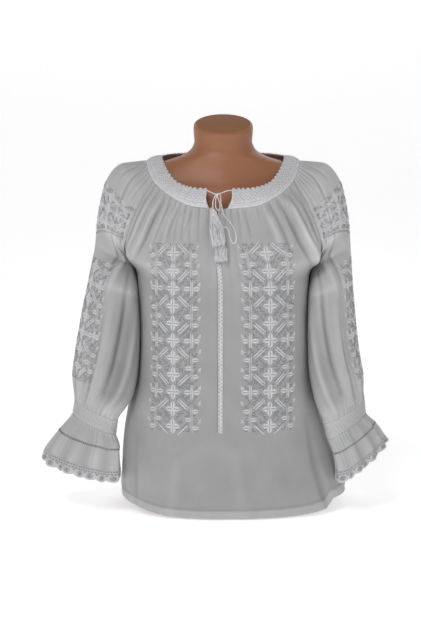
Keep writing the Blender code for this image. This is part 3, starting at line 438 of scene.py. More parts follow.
def slit_half(rows):
    """Half the width of the slit, which narrows evenly down to its foot."""
    return SLIT_TOP_HALF + (SLIT_FOOT_HALF - SLIT_TOP_HALF) * np.minimum(rows / SLIT_ROW, 1)


def sleeve_halves(plan, rows, side, ahead, panel_table):
    """Halves of a sleeve's rows, from the outer line round to the seam, as cubic arcs whose ends
    lie along the arc's own turn."""
    outer = plan.point(rows, "outer", side)
    on_body = seam_of(panel_table, rows, side)
    apart = np.clip((rows - SLIT_ROW) / (RAGLAN_END - SLIT_ROW), 0, 1)
    on_body[:, 0] += UNDERARM_SPACE * side * apart
    seam = np.where(rows[:, None] < RAGLAN_END, on_body, plan.point(rows, "inner", side))
    turn = np.radians(plan.plain(rows, "turn"))[:, None]
    fullness = plan.plain(rows, "front_reach" if ahead < 0 else "back_reach")[:, None]
    chord = np.linalg.norm(seam - outer, axis=-1, keepdims=True)
    reach = (2 * np.tan(turn / 4) / np.sin(turn / 2) * chord * fullness)[:, None]
    forward = np.array([0.0, ahead, 0.0])
    inward = unit((seam - outer) * (1, 0, 1))
    arrive = (np.cos(turn) * forward + np.sin(turn) * inward)[:, None]
    s = np.linspace(0, 1, ARC_POINTS)[None, :, None]
    return cubic(outer[:, None], forward * reach, seam[:, None], arrive * reach, s)


def sleeve(plan, side, rows, across):
    """Sleeve points from the front seam (-1) round the outer line (0) to the back seam (1)."""
    front = resampled(sleeve_halves(plan, rows, side, -1, FRONT), -across[across <= 0][None])
    back = resampled(sleeve_halves(plan, rows, side, 1, BACK), across[across > 0][None])
    points = np.concatenate([front, back], axis=1)
    degrees = side * np.interp(across, (-1, 1), (RAGLAN_FRONT, RAGLAN_BACK))
    return bent_to_neck(points, rows, neck_points("lower", degrees))


# ---- relief of the cloth
def folds_at(folds, across, rows):
    """Height of the folds: each falls off to both sides of its line and to both of its ends."""
    height = 0 * across * rows
    for across_0, row_0, across_1, row_1, half_width, rise in folds:
        share = (rows - row_0) / (row_1 - row_0)
        middle = across_0 * (1 - share) + across_1 * share
        side = np.exp(-(((across - middle) / half_width) ** 2))
        height = height + side * np.sin(math.pi * np.clip(share, 0, 1)) ** 0.7 * (rise * MM)
    return height


def gathers(across, down, count, fade, seed):
    """Ridges side by side under a seam, with sharp valleys between them. Each dies away over its
    own reach: |sin|^0.6 of a wobbling phase, less 0.3, times an exponential of the distance
    down."""
    phase = count * across + 1.1 * noise(across * count * 0.3, down * 0.2, seed)
    reach = fade * (0.85 + 0.7 * noise(across * count * 0.5, 0 * down, seed + 1))
    tall = 0.75 + 0.35 * noise(phase * 0.7, down * 0.5, seed + 2)
    ridge = (np.abs(np.sin(math.pi * phase)) ** 0.6 - 0.3) * tall
    return ridge * np.exp(-np.maximum(down, 0) / np.maximum(reach, 0.1))


# ---- meshes
def grid_faces(rows, columns, closed=False, keep=None, looped=False):
    """The quads of a grid of points, row by row. closed joins the last column to the first, and
    looped the last row to the first."""
    number = np.arange(rows * columns).reshape(rows, columns)
    number = np.pad(number, ((0, looped), (0, closed)), mode="wrap")
    quads = np.stack([number[:-1, :-1], number[:-1, 1:], number[1:, 1:], number[1:, :-1]], -1)
    return quads[keep] if keep is not None else quads.reshape(-1, 4)


def many_grids(count, rows, columns, closed=False):
    """The quads of equal grids that follow one another."""
    quads = grid_faces(rows, columns, closed)[None]
    return quads + (np.arange(count) * rows * columns)[:, None, None]


def make_object(name, points, quads, material, uv=None, triangles=None, shade=None):
    """A smooth mesh from points, quads and triangles. Points that no face uses are left out. shade
    is how much lighter each point is than its material, or darker below 0."""
    groups = [np.asarray(quads, int).reshape(-1, 4)]
    if triangles is not None:
        groups.append(np.asarray(triangles, int).reshape(-1, 3))
    corners = np.concatenate([group.ravel() for group in groups])
    sizes = np.concatenate([np.full(len(group), group.shape[1]) for group in groups])
    used, corners = np.unique(corners, return_inverse=True)
    data = bpy.data.meshes.new(name)
    data.vertices.add(len(used))
    data.vertices.foreach_set("co", points.reshape(-1, 3)[used].astype(np.float32).ravel())
    data.loops.add(len(corners))
    data.loops.foreach_set("vertex_index", corners.astype(np.int32))
    data.polygons.add(len(sizes))
    data.polygons.foreach_set("loop_start", (np.cumsum(sizes) - sizes).astype(np.int32))
    data.update(calc_edges=True)
    if uv is not None:
        layer = data.uv_layers.new(name="cloth")
        layer.data.foreach_set("uv", uv.reshape(-1, 2)[used][corners].astype(np.float32).ravel())
    if shade is not None:
        tones = data.attributes.new("shade", "FLOAT", "POINT")
        tones.data.foreach_set("value", np.ravel(shade)[used].astype(np.float32))
    data.validate()
    data.shade_smooth()
    data.materials.append(material)
    obj = bpy.data.objects.new(name, data)
    bpy.context.scene.collection.objects.link(obj)
    return obj


def dress(obj, slot, *nodes):
    """The piece rides on the part's one body and replaces the nodes; slot is not used."""
    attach(obj, BODY)
    if nodes:
        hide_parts(*nodes)
    return obj


def hollows(points, normals, reach, depth, closed=False):
    """From -1 in hollows to 1 on ridges: each point's height over the mean of the four points that
    lie reach rows or columns away, as a share of depth."""
    mode = "wrap" if closed else "edge"
    sides = np.pad(points, ((0, 0), (reach, reach), (0, 0)), mode=mode)
    ends = np.pad(points, ((reach, reach), (0, 0), (0, 0)), mode="edge")
    around = sides[:, 2 * reach :] + sides[:, : -2 * reach]
    around = (around + ends[2 * reach :] + ends[: -2 * reach]) / 4
    return np.clip(((points - around) * normals).sum(-1) / depth, -1, 1)


def fabric_uv(points, middle):
    """Metres across and down the fabric: along each row from the middle column, and down it."""
    across = lengths_along(points)
    down = length_along(points[:, middle])
    return stacked(across - across[:, middle : middle + 1], down[:, None])


def tube(path, radius, sides, lobes=0, lobe_depth=0.0, twist=0.0, closed=False):
    """A tube's grid of points and UV. Its sections stand square to the path, whose frame is turned
    as little as it can be. With lobes the radius swells and shrinks round the section, and the
    swells wind round the tube, twist turns in each metre."""
    path = np.asarray(path, float)
    if closed:
        ways = unit(np.roll(path, -1, axis=0) - np.roll(path, 1, axis=0))
    else:
        ways = unit(np.gradient(path, axis=0))
    helper = (0.0, 1.0, 0.0) if abs(ways[:, 1]).mean() < 0.8 else (0.0, 0.0, 1.0)
    side = unit(np.cross(ways, helper))
    other = np.cross(ways, side)
    far = length_along(path)
    turn = angles_round(sides)[None]
    swell = np.cos(lobes * turn + 2 * math.pi * twist * far[:, None])
    size = radius * (1 - lobe_depth * (0.5 - 0.5 * swell))
    ring = side[:, None] * (np.cos(turn) * size)[..., None]
    ring = ring + other[:, None] * (np.sin(turn) * size)[..., None]
    return path[:, None] + ring, stacked(turn * radius, far[:, None])


def capped(points):
    """Triangles that close both ends of a tube grid with a fan to their middle points, which are
    added after its own points."""
    rows, sides = points.shape[:2]
    middles = np.stack([points[0].mean(axis=0), points[-1].mean(axis=0)])
    ring = np.arange(sides)
    after = (ring + 1) % sides
    low = np.stack([np.full(sides, rows * sides), after, ring], -1)
    last = (rows - 1) * sides
    high = np.stack([np.full(sides, rows * sides + 1), last + ring, last + after], -1)
    return np.concatenate([points.reshape(-1, 3), middles]), np.concatenate([low, high])


class Pile:
    """Many small grids gathered into one mesh."""

    def __init__(self):
        self.points, self.uv, self.shade, self.quads, self.triangles = [], [], [], [], []
        self.count = 0

    def add(self, points, uv, quads, triangles=None, shade=0.0):
        """Points with their faces, whose numbers count from the first of these points."""
        self.points.append(points.reshape(-1, 3))
        self.uv.append(uv.reshape(-1, 2))
        self.shade.append(np.broadcast_to(np.ravel(shade), (len(self.points[-1]),)))
        self.quads.append(np.asarray(quads).reshape(-1, 4) + self.count)
        if triangles is not None:
            self.triangles.append(np.asarray(triangles).reshape(-1, 3) + self.count)
        self.count += len(self.points[-1])

    def add_capped(self, points, uv, shade=0.0):
        """A grid that is closed all round, with a fan over each of its ends."""
        quads = grid_faces(*points.shape[:2], closed=True)
        shade = np.append(np.broadcast_to(shade, points.shape[:2]), [0, 0])
        points, fans = capped(points)
        self.add(points, np.append(uv.reshape(-1, 2), uv[[0, -1], 0], 0), quads, fans, shade)

    def add_tube(self, path, radius, sides, loop=False, **swells):
        """A tube that closes into a ring, or one with both ends capped."""
        points, uv = tube(path, radius, sides, closed=loop, **swells)
        if loop:
            self.add(points, uv, grid_faces(len(points), sides, True, looped=True))
        else:
            self.add_capped(points, uv)

    def add_patches(self, points, uv, shade=0.0):
        """Grids of one size, as (patch, row, column, xyz)."""
        self.add(points, uv, many_grids(*points.shape[:3]), shade=shade)

    def add_lozenges(self, points, uv, shade=0.0):
        """Low pyramids, as (lozenge, corner or top, xyz), with the top last."""
        sides = np.array([(0, 1, 4), (1, 2, 4), (2, 3, 4), (3, 0, 4)])
        triangles = 5 * np.arange(len(points))[:, None, None] + sides
        self.add(points, uv, np.zeros((0, 4), int), triangles, shade)

    def build(self, name, material, shade=0.0):
        """The one mesh. shade is added to each point's own."""
        return make_object(
            name,
            np.concatenate(self.points),
            np.concatenate(self.quads),
            material,
            np.concatenate(self.uv),
            np.concatenate(self.triangles) if self.triangles else None,
            np.concatenate(self.shade) + shade,
        )

    def piece(self, name, slot, *nodes, shade=0.0):
        """The mesh in that slot's own finish, dressed."""
        return dress(self.build(name, finish(slot), shade), slot, *nodes)


class Cloth:
    """A finished cloth surface: its points and normals, and the rows and places across of both."""

    def __init__(self, points, normals, rows, across):
        self.points, self.normals, self.rows, self.across = points, normals, rows, across
        self.lengths = lengths_along(points)[:, -1] / 2

    def sample(self, values, row, across):
        """Values at places between the grid's points, by blending the four nearest."""
        r = np.interp(row, self.rows, np.arange(len(self.rows)))
        low = np.clip(r.astype(int), 0, len(self.rows) - 2)
        knots = (self.across + 4.0 * np.arange(len(self.rows))[:, None]).ravel()
        columns = self.across.shape[1]
        c = np.interp(across + 4.0 * low, knots, np.tile(np.arange(columns), len(self.rows)))
        left = np.clip(c.astype(int), 0, columns - 2)
        s, t = (c - left)[..., None], (r - low)[..., None]
        top = values[low, left] * (1 - s) + values[low, left + 1] * s
        foot = values[low + 1, left] * (1 - s) + values[low + 1, left + 1] * s
        return top * (1 - t) + foot * t

    def on(self, row, across, height=0.0):
        """Points at a height over the cloth."""
        normal = unit(self.sample(self.normals, row, across))
        return self.sample(self.points, row, across) + normal * np.asarray(height)[..., None]

    def share(self, row, side_length):
        """The place across that lies a length in metres from the middle line."""
        return side_length / np.interp(row, self.rows, self.lengths)

    def row_at_height(self, side_length, z, first, last):
        """The row whose point at that length from the middle line lies at height z: the stretch
        from the first row to the last is halved again and again."""
        low, high = np.full(np.shape(z), float(first)), np.full(np.shape(z), float(last))
        for _ in range(HALVINGS):
            middle = (low + high) / 2
            below = self.sample(self.points, middle, self.share(middle, side_length))[..., 2] < z
            low, high = np.where(below, low, middle), np.where(below, middle, high)
        return (low + high) / 2


# ---- materials
def linear(code):
    """An sRGB hex colour as linear values with an alpha of 1."""
    values = [int(code[n : n + 2], 16) / 255 for n in (1, 3, 5)]
    return [v / 12.92 if v <= 0.04045 else ((v + 0.055) / 1.055) ** 2.4 for v in values] + [1.0]


def add_node(tree, kind, inputs, **settings):
    """A shader node with its settings. An input is a value, or a socket that it is linked from."""
    node = tree.nodes.new("ShaderNode" + kind)
    for name, value in settings.items():
        setattr(node, name, value)
    for key, value in inputs.items():
        if isinstance(value, bpy.types.NodeSocket):
            tree.links.new(value, node.inputs[key])
        else:
            node.inputs[key].default_value = value
    return node


def wave_scale(period):
    """The scale at which a banded Wave texture repeats once in that length, in metres."""
    return math.pi / 10 / period


def new_material(name, surface, *measures):
    """A material. Its surface function lays the nodes and returns the socket that they end in."""
    material = bpy.data.materials.new(name)
    material.use_nodes = True
    tree = material.node_tree
    tree.nodes.clear()
    add_node(tree, "OutputMaterial", {"Surface": surface(tree, *measures)})
    return material


def two_tones(tree, scale, colour, spread, detail=3.0):
    """A colour that drifts with noise of that scale between a darker and a lighter tone of it."""
    place = add_node(tree, "TexCoord", {}).outputs["Object"]
    drift = add_node(tree, "TexNoise", {"Vector": place, "Scale": scale, "Detail": detail})
    tones = add_node(tree, "ValToRGB", {"Fac": drift.outputs["Fac"]})
    stops = tones.color_ramp.elements
    for stop, position, share in zip(stops, (0.35, 0.65), (1 - spread, 1 + spread)):
        stop.position = position
        stop.color = [min(value * share, 1.0) for value in colour[:3]] + [1.0]
    return tones.outputs["Color"]


def shaded(tree, colour):
    """The colour made lighter or darker by the mesh's own shade, which is 0 where it has none."""
    shade = add_node(tree, "Attribute", {}, attribute_name="shade").outputs["Fac"]
    inputs = {0: colour, 1: shade, 2: colour}
    return add_node(tree, "VectorMath", inputs, operation="MULTIPLY_ADD").outputs[0]


THREAD = 0.9 * MM  # two real threads of the voile, because one is too fine to show
CRINKLE = 3.4 * MM


def cotton_voile(tree, colour, see_light):
    """Cotton voile: a thin plain weave, bleached and unpressed. It gives a matt, faintly glowing
    surface with a fine grid of threads and small crinkles along the weft."""
    fabric = add_node(tree, "UVMap", {}, uv_map="cloth").outputs["UV"]
    lines = {"Vector": fabric, "Scale": wave_scale(THREAD), "Distortion": 0.4, "Detail": 0.0}
    warp, weft = (
        add_node(tree, "TexWave", lines, wave_type="BANDS", bands_direction=direction)
        for direction in ("X", "Y")
    )
    crossed = {0: warp.outputs["Fac"], 1: weft.outputs["Fac"]}
    threads = add_node(tree, "Math", crossed, operation="MULTIPLY").outputs[0]
    weave = add_node(tree, "Bump", {"Height": threads, "Strength": 0.25, "Distance": 0.2 * MM})
    pulled = add_node(tree, "Mapping", {"Vector": fabric, "Scale": (0.12, 1.0, 1.0)})
    creased = {"Vector": pulled.outputs["Vector"], "Scale": 1 / CRINKLE, "Detail": 2.0}
    crinkle = add_node(tree, "TexNoise", creased)
    relief = {"Height": crinkle.outputs["Fac"], "Normal": weave.outputs["Normal"]}
    bump = add_node(tree, "Bump", {**relief, "Strength": 0.5, "Distance": 0.5 * MM})
    tone = shaded(tree, two_tones(tree, 28.0, colour, 0.03))
    shader = add_node(
        tree,
        "BsdfPrincipled",
        {
            "Base Color": tone,
            "Roughness": 0.85,
            "Sheen Weight": 0.25,
            "Sheen Roughness": 0.5,
            "Specular IOR Level": 0.2,
            "Normal": bump.outputs["Normal"],
        },
    )
    glow = add_node(tree, "BsdfTranslucent", {"Color": tone, "Normal": bump.outputs["Normal"]})
    mixed = {"Fac": see_light, 1: shader.outputs["BSDF"], 2: glow.outputs["BSDF"]}
    return add_node(tree, "MixShader", mixed).outputs["Shader"]


def stranded_floss(tree, colour, roughness, strand):
    """Stranded cotton floss laid in satin stitch: combed and mercerised, so it has a soft shine
    and fine lines across each leaf. strand is the spacing of the lines."""
    stitch = add_node(tree, "UVMap", {}, uv_map="cloth").outputs["UV"]
    across = {"Vector": stitch, "Scale": wave_scale(strand), "Distortion": 0.6}
    lines = add_node(tree, "TexWave", across, wave_type="BANDS", bands_direction="X")
    relief = {"Height": lines.outputs["Fac"], "Strength": 0.5, "Distance": 0.15 * MM}
    shader = add_node(
        tree,
        "BsdfPrincipled",
        {
            "Base Color": shaded(tree, two_tones(tree, 240.0, colour, 0.07, 1.0)),
            "Roughness": roughness,
            "Sheen Weight": 0.3,
            "Specular IOR Level": 0.4,
            "Normal": add_node(tree, "Bump", relief).outputs["Normal"],
        },
    )
    return shader.outputs["BSDF"]


def spun_cotton(tree, colour, twist):
    """Spun cotton thread, crocheted, smocked or plied: matt, with the slanted lines of its twist
    along each thread. twist is the spacing of the lines."""
    thread = add_node(tree, "UVMap", {}, uv_map="cloth").outputs["UV"]
    slant = {"Vector": thread, "Scale": wave_scale(twist), "Distortion": 0.8, "Detail": 1.0}
    lines = add_node(tree, "TexWave", slant, wave_type="BANDS", bands_direction="DIAGONAL")
    fuzz = add_node(tree, "TexNoise", {"Vector": thread, "Scale": 0.5 / twist, "Detail": 4.0})
    both = {0: lines.outputs["Fac"], 1: fuzz.outputs["Fac"]}
    height = add_node(tree, "Math", both, operation="ADD").outputs[0]
    bump = add_node(tree, "Bump", {"Height": height, "Strength": 0.5, "Distance": 0.2 * MM})
    shader = add_node(
        tree,
        "BsdfPrincipled",
        {
            "Base Color": shaded(tree, two_tones(tree, 160.0, colour, 0.05)),
            "Roughness": 0.8,
            "Sheen Weight": 0.3,
            "Specular IOR Level": 0.2,
            "Normal": bump.outputs["Normal"],
        },
    )
    return shader.outputs["BSDF"]


def moulded_plastic(tree, colour, roughness, shine):
    """Blow-moulded plastic with a satin skin coat: an even tan with faint clouds, a soft shine and
    a very fine orange peel."""
    place = add_node(tree, "TexCoord", {}).outputs["Object"]
    peel = add_node(tree, "TexNoise", {"Vector": place, "Scale": 700.0, "Detail": 1.0})
    relief = {"Height": peel.outputs["Fac"], "Strength": 0.08, "Distance": 0.1 * MM}
    shader = add_node(
        tree,
        "BsdfPrincipled",
        {
            "Base Color": two_tones(tree, 9.0, colour, 0.04, 2.0),
            "Roughness": roughness,
            "Specular IOR Level": shine,
            "IOR": 1.5,
            "Normal": add_node(tree, "Bump", relief).outputs["Normal"],
        },
    )
    return shader.outputs["BSDF"]


def paper_sweep(tree, colour):
    """A matt seamless paper sweep. Its own faint glow keeps it pale where the lamps fall off."""
    shader = add_node(
        tree,
        "BsdfPrincipled",
        {
            "Base Color": colour,
            "Roughness": 0.95,
            "Specular IOR Level": 0.1,
            "Emission Color": linear("#ffffff"),
            "Emission Strength": 0.55,
        },
    )
    return shader.outputs["BSDF"]


# Each slot's function, the material's name, its colour's property and the function's own measures.
FINISHES = {
    "form_plastic": (moulded_plastic, "satin_moulded_plastic", "plastic", 0.45, 0.4),
    # the cap is a darker copy of the form's plastic: painted shade on its top, which the lamps
    # light less
    "form_cap": (moulded_plastic, "worn_moulded_plastic", "plastic_cap", 0.8, 0.1),
    "cotton_voile": (cotton_voile, "bleached_cotton_voile", "voile", 0.16),
    "smocked_cotton": (spun_cotton, "smocked_cotton", "smocking", 1.1 * MM),
    "trimming": (spun_cotton, "narrow_cotton_trim", "smocking", 0.9 * MM),
    "crochet_lace": (spun_cotton, "crochet_cotton", "lace", 0.7 * MM),
    "cotton_cord": (spun_cotton, "plied_cotton_cord", "cord", 0.8 * MM),
    "white_floss": (stranded_floss, "white_satin_floss", "floss", 0.42, 0.7 * MM),
    "pearl_floss": (stranded_floss, "pearl_satin_floss", "pearl_floss", 0.5, 0.7 * MM),
    "grey_floss": (stranded_floss, "silver_grey_floss", "grey_floss", 0.5, 0.6 * MM),
}
MADE = {}


def finish(name):
    """The material of that finish, made on its first use."""
    if name not in MADE:
        surface, material, colour, *measures = FINISHES[name]
        colour = getattr(bpy.context.scene.ie_colours, colour)
        MADE[name] = new_material(material, surface, colour, *measures)
    return MADE[name]


# ---- what a user would change
def length_property(name, description, default):
    """A size in metres."""
    return FloatProperty(
        name=name, description=description, default=default, min=0.0, unit="LENGTH"
    )


def colour_property(name, description, code):
    """A colour, from its sRGB hex code."""
    return FloatVectorProperty(
        name=name,
        description=description,
        default=linear(code)[:3],
        min=0.0,
        max=1.0,
        subtype="COLOR",
    )


class IeSizes(bpy.types.PropertyGroup):
    """Sizes of the cloth, its gathers, the ties and the stitches"""
    cloth: length_property("Cloth", "Thickness of the cotton voile", 0.5 * MM)
    lift: length_property("Lift", "Height of the voile over the inside of its CAD wall", 0.5 * MM)
    body_gather: length_property("Body gathers", "Height of gathers at the neckband", 3.2 * MM)
    sleeve_gather: length_property("Sleeve gathers", "Height of gathers at a sleeve", 2.8 * MM)
    wrist_gather: length_property("Wrist gathers", "Height of gathers at the wrist", 3.2 * MM)
    cord: length_property("Cord", "Diameter of the ties", 1.8 * MM)
    stitch: length_property("Stitch", "Height of the satin stitches", 0.8 * MM)


class IeColours(bpy.types.PropertyGroup):
    """Colours of the form, the cloth, the threads and the cords"""
    plastic: colour_property("Form", "Moulded plastic of the dress form", "#aa7454")
    # painted shade: the cap's colour is the form's plastic, made darker where the lamps light it
    # less
    plastic_cap: colour_property("Cap", "Cap of the dress form's neck", "#a47557")
    voile: colour_property("Voile", "Bleached cotton voile", "#cbcbcc")
    smocking: colour_property("Smocking", "Smocked cotton and narrow trim", "#dfdfe2")
    lace: colour_property("Lace", "Crochet cotton", "#d4d4d7")
    cord: colour_property("Cord", "Plied cotton of the ties and tassels", "#f2f2f4")
    floss: colour_property("Floss", "Bright satin stitches", "#e4e4e8")
    pearl_floss: colour_property("Pearl floss", "Soft white satin stitches", "#d3d3d6")
    grey_floss: colour_property("Grey floss", "Silver grey stitches of the ground", "#848488")


def sizes():
    """The scene's sizes of the blouse."""
    return bpy.context.scene.ie_sizes


# ---- pieces of cloth
VALLEY = (2, 1.6 * MM)  # how many grid steps wide a hollow is, and how deep a full shade takes
VALLEY_SHADE = 0.36
FOLD = (7, 4.0 * MM)
FOLD_SHADE = 0.1
ABOVE_SEAM = 0.12  # rows over which gathers rise out of a seam
SEAM_EDGE = 0.05  # share of a row over which a sleeve's relief rises out of its seams
CLOTHS = {}


def remember(name, points, centre, rows, across):
    """Keeps the outer face of a cloth for the stitches that are laid on it."""
    normals = outward(points, centre)
    CLOTHS[name] = Cloth(points + normals * sizes().cloth, normals, rows, across)


def sheet_object(
    name, points, centre, middle, closed=False, keep=None, material="cotton_voile", shade=0.0
):
    """A cloth piece through a grid of points, with its faces and its wall turned outwards. It is
    painted darker in the hollows of its folds, where less light comes, and lighter on their ridges
    as painted highlights."""
    quads = grid_faces(*points.shape[:2], closed, keep)
    normals = grid_normals(points, closed)
    if ((points - centre) * normals).sum() < 0:
        quads, normals = quads[:, ::-1], -normals
    shade = shade + VALLEY_SHADE * hollows(points, normals, *VALLEY, closed)
    shade = shade + FOLD_SHADE * hollows(points, normals, *FOLD, closed)
    uv = fabric_uv(points, middle)
    obj = make_object(name, points, quads, finish(material), uv, shade=shade)
    wall = obj.modifiers.new("Wall", "SOLIDIFY")
    wall.thickness, wall.offset = sizes().cloth, 1.0
    return obj


# ---- body panels
FRONT_ROWS = steps((0, 1, 30), (1, 2.6, 30), (2.6, 4, 22), (4, 9.7, 88), (9.7, 10, 9))
BACK_ROWS = steps((0, 1, 24), (1, 4, 34), (4, 9.7, 62), (9.7, 10, 6))
FRONT_HALF = 92
BACK_HALF = 64
HEM_TURN_ROW = 9.82
HEM_STEP = 0.7 * MM
HEM_SHADE = 0.19  # the turned hem is of two layers, so less light goes through it
HEM_STITCH_SHADE = 0.14
# Painted shade over the form, and painted light at the panels' sides beside the sleeves.
FORM_SHADE = 0.15
ASIDE_PAINTED_LIGHT = 0.22
BODY_FINE_GATHERS = (29.0, 0.6)  # how many in half a row, and how many rows down they reach
BODY_BROAD_GATHERS = (11.0, 1.8)
FRONT_SEED = 11
BACK_SEED = 23
# Creases laid over the large folds: troughs where the height is below 0.
FRONT_CREASES = (
    (0.70, 0.1, 0.80, 3.6, 0.025, -4.5),
    (0.60, 0.2, 0.66, 2.6, 0.022, -3.0),
    (0.84, 0.2, 0.88, 3.2, 0.02, -3.0),
    (0.93, 0.3, 0.96, 3.6, 0.02, -3.0),
    (-0.70, 0.1, -0.80, 3.2, 0.025, -4.2),
    (-0.60, 0.2, -0.66, 2.4, 0.02, -2.6),
    (-0.84, 0.2, -0.88, 3.0, 0.02, -3.0),
    (-0.48, 0.2, -0.52, 1.8, 0.016, -2.0),
    (-0.93, 0.3, -0.96, 3.6, 0.02, -3.0),
    (0.30, 0.1, 0.33, 1.6, 0.016, -1.2),
    (-0.30, 0.1, -0.34, 1.5, 0.016, -1.2),
    (0.66, 7.9, 0.64, 10.7, 0.03, -1.8),
    (0.91, 7.2, 0.90, 10.7, 0.03, -2.2),
    (-0.64, 8.3, -0.62, 10.7, 0.03, -1.5),
    (-0.90, 7.4, -0.90, 10.7, 0.03, -2.2),
    (0.52, 0.1, 0.60, 3.0, 0.03, 2.6),
    (-0.52, 0.1, -0.56, 2.8, 0.03, 2.2),
    (0.78, 0.2, 0.87, 3.7, 0.035, 5.0),
    (-0.76, 0.3, -0.82, 3.2, 0.03, 3.0),
    (0.10, 8.4, 0.16, 10.7, 0.05, 1.6),
    (-0.30, 8.6, -0.36, 10.7, 0.05, 1.6),
)
BACK_CREASES = (
    (0.36, 2.4, 0.30, 10.7, 0.03, -3.0),
    (0.62, 4.2, 0.58, 10.7, 0.03, -2.6),
    (-0.34, 2.4, -0.36, 10.7, 0.03, -3.0),
    (-0.60, 4.0, -0.66, 10.7, 0.03, -2.6),
    (0.12, 5.0, 0.09, 10.7, 0.03, -2.0),
    (0.72, 0.2, 0.80, 3.2, 0.02, -2.0),
    (-0.72, 0.2, -0.80, 3.2, 0.02, -2.0),
)


def hem_turned(rows):
    """0 above the hem's turned edge and 1 on it."""
    return ramp(rows, HEM_TURN_ROW - 0.01, HEM_TURN_ROW + 0.01)


def panel_relief(rows, across, folds, creases, seed):
    """Height of a panel's relief: the folds and creases, fine and broad gathers under the
    neckband, and a soft unevenness. It dies away at the panel's edges."""
    down = rows[:, None]
    height = folds_at(folds, across, down) * np.clip(down, 0, 1)
    height = height + folds_at(creases, across, down)
    tall, risen = sizes().body_gather, ramp(down, 0.0, ABOVE_SEAM)
    height = height + tall * 0.75 * risen * gathers(across, down, *BODY_FINE_GATHERS, seed)
    height = height + tall * risen * gathers(across, down, *BODY_BROAD_GATHERS, seed + 7)
    height = height + 0.7 * MM * noise(across * 7, down * 1.3, seed + 3) * ramp(down, 1, 3)
    return height * ramp(1 - np.abs(across), 0.0, 0.035)


def lifted_panel(points, rows, across, height):
    """The panel raised off the inside of its CAD wall by the lift and its relief."""
    edge = ramp(1 - np.abs(across), 0.0, 0.03)
    height = sizes().lift * edge + height + HEM_STEP * hem_turned(rows)[:, None]
    return points + outward(points, BODY_AXIS) * height[..., None]


def panel_shade(rows, across):
    """How light the hem is and how dark its stitches are. The voile is painted darker where it
    lies close over the form, as painted shade for the form showing through it. At its sides,
    beside the sleeves, it gets painted light that evens out the shade there."""
    stitched = np.exp(-(((rows - HEM_TURN_ROW) / 0.02) ** 2))
    hem = (HEM_SHADE * hem_turned(rows) - HEM_STITCH_SHADE * stitched)[:, None]
    aside = ramp(np.abs(across), 0.72, 0.95) * ramp(rows, 4.0, 5.0)[:, None]
    clear = ASIDE_PAINTED_LIGHT * aside * (1 - ramp(rows, 8.0, 9.0))[:, None]
    return hem + (clear - FORM_SHADE * ramp(rows, 2.2, 5.0)[:, None])


def make_front():
    """The front. Two middle columns border the slit, and one low corner is hitched up."""
    rows = FRONT_ROWS
    slit = slit_half(rows)
    even = np.linspace(0, 1, FRONT_HALF + 1)[None]
    places = []
    for side in (-1, 1):
        edge = (slit / lengths_along(half_rows(FRONT, rows, side))[:, -1])[:, None]
        places.append(edge + (1 - edge) * even)
    points, across = panel(FRONT, rows, *places, (-RAGLAN_FRONT, SLIT_DEGREES, RAGLAN_FRONT))
    low = np.clip((rows - HITCH_ROW) / (rows[-1] - HITCH_ROW), 0, 1)[:, None]
    points[..., 2] += HEM_HITCH * low * np.interp(across, HITCH_ACROSS, (0, 1, 0))
    height = panel_relief(rows, across, FRONT_FOLDS, FRONT_CREASES, FRONT_SEED)
    points = lifted_panel(points, rows, across, height)
    keep = np.ones((len(rows) - 1, across.shape[1] - 1), bool)
    keep[: np.searchsorted(rows, SLIT_ROW - 1e-6), FRONT_HALF] = False
    remember("front", points, BODY_AXIS, rows, across)
    shade = panel_shade(rows, across)
    return sheet_object("front_of_voile", points, BODY_AXIS, FRONT_HALF, keep=keep, shade=shade)


def make_back():
    """The back: superellipse arcs from its centre line to both seams, raised by its relief."""
    rows = BACK_ROWS
    even = np.linspace(0, 1, BACK_HALF + 1)[None] + 0 * rows[:, None]
    degrees = (-RAGLAN_BACK, -180.0, RAGLAN_BACK - 360)
    points, across = panel(BACK, rows, even[:, 1:], even, degrees)
    height = panel_relief(rows, across, BACK_FOLDS, BACK_CREASES, BACK_SEED)
    points = lifted_panel(points, rows, across, height)
    shade = panel_shade(rows, across)
    return sheet_object("back_of_voile", points, BODY_AXIS, BACK_HALF, shade=shade)


# ---- arms
ARMS = ((-1, "left"), (1, "right"))
PLANS = {-1: SLEEVE_LEFT, 1: SLEEVE_RIGHT}
SLEEVE_SEEDS = {-1: 31, 1: 47}
SLEEVE_ROWS = steps((0, 1, 24), (1, 4, 44), (4, 9, 76), (9, 10, 26))
SLEEVE_ROUND = 120
SLEEVE_FINE_GATHERS = (19.0, 0.5)
SLEEVE_BROAD_GATHERS = (7.0, 1.1)
WRIST_GATHERS = (17.0, 0.8)
BACK_DROP = 8.0 * MM  # how much lower the lace hangs behind than in front
INNER_SHADE = {-1: 0.46, 1: 0.28}  # the sleeve's side towards the body, deeper on the left
BEHIND_SHADE = 0.3
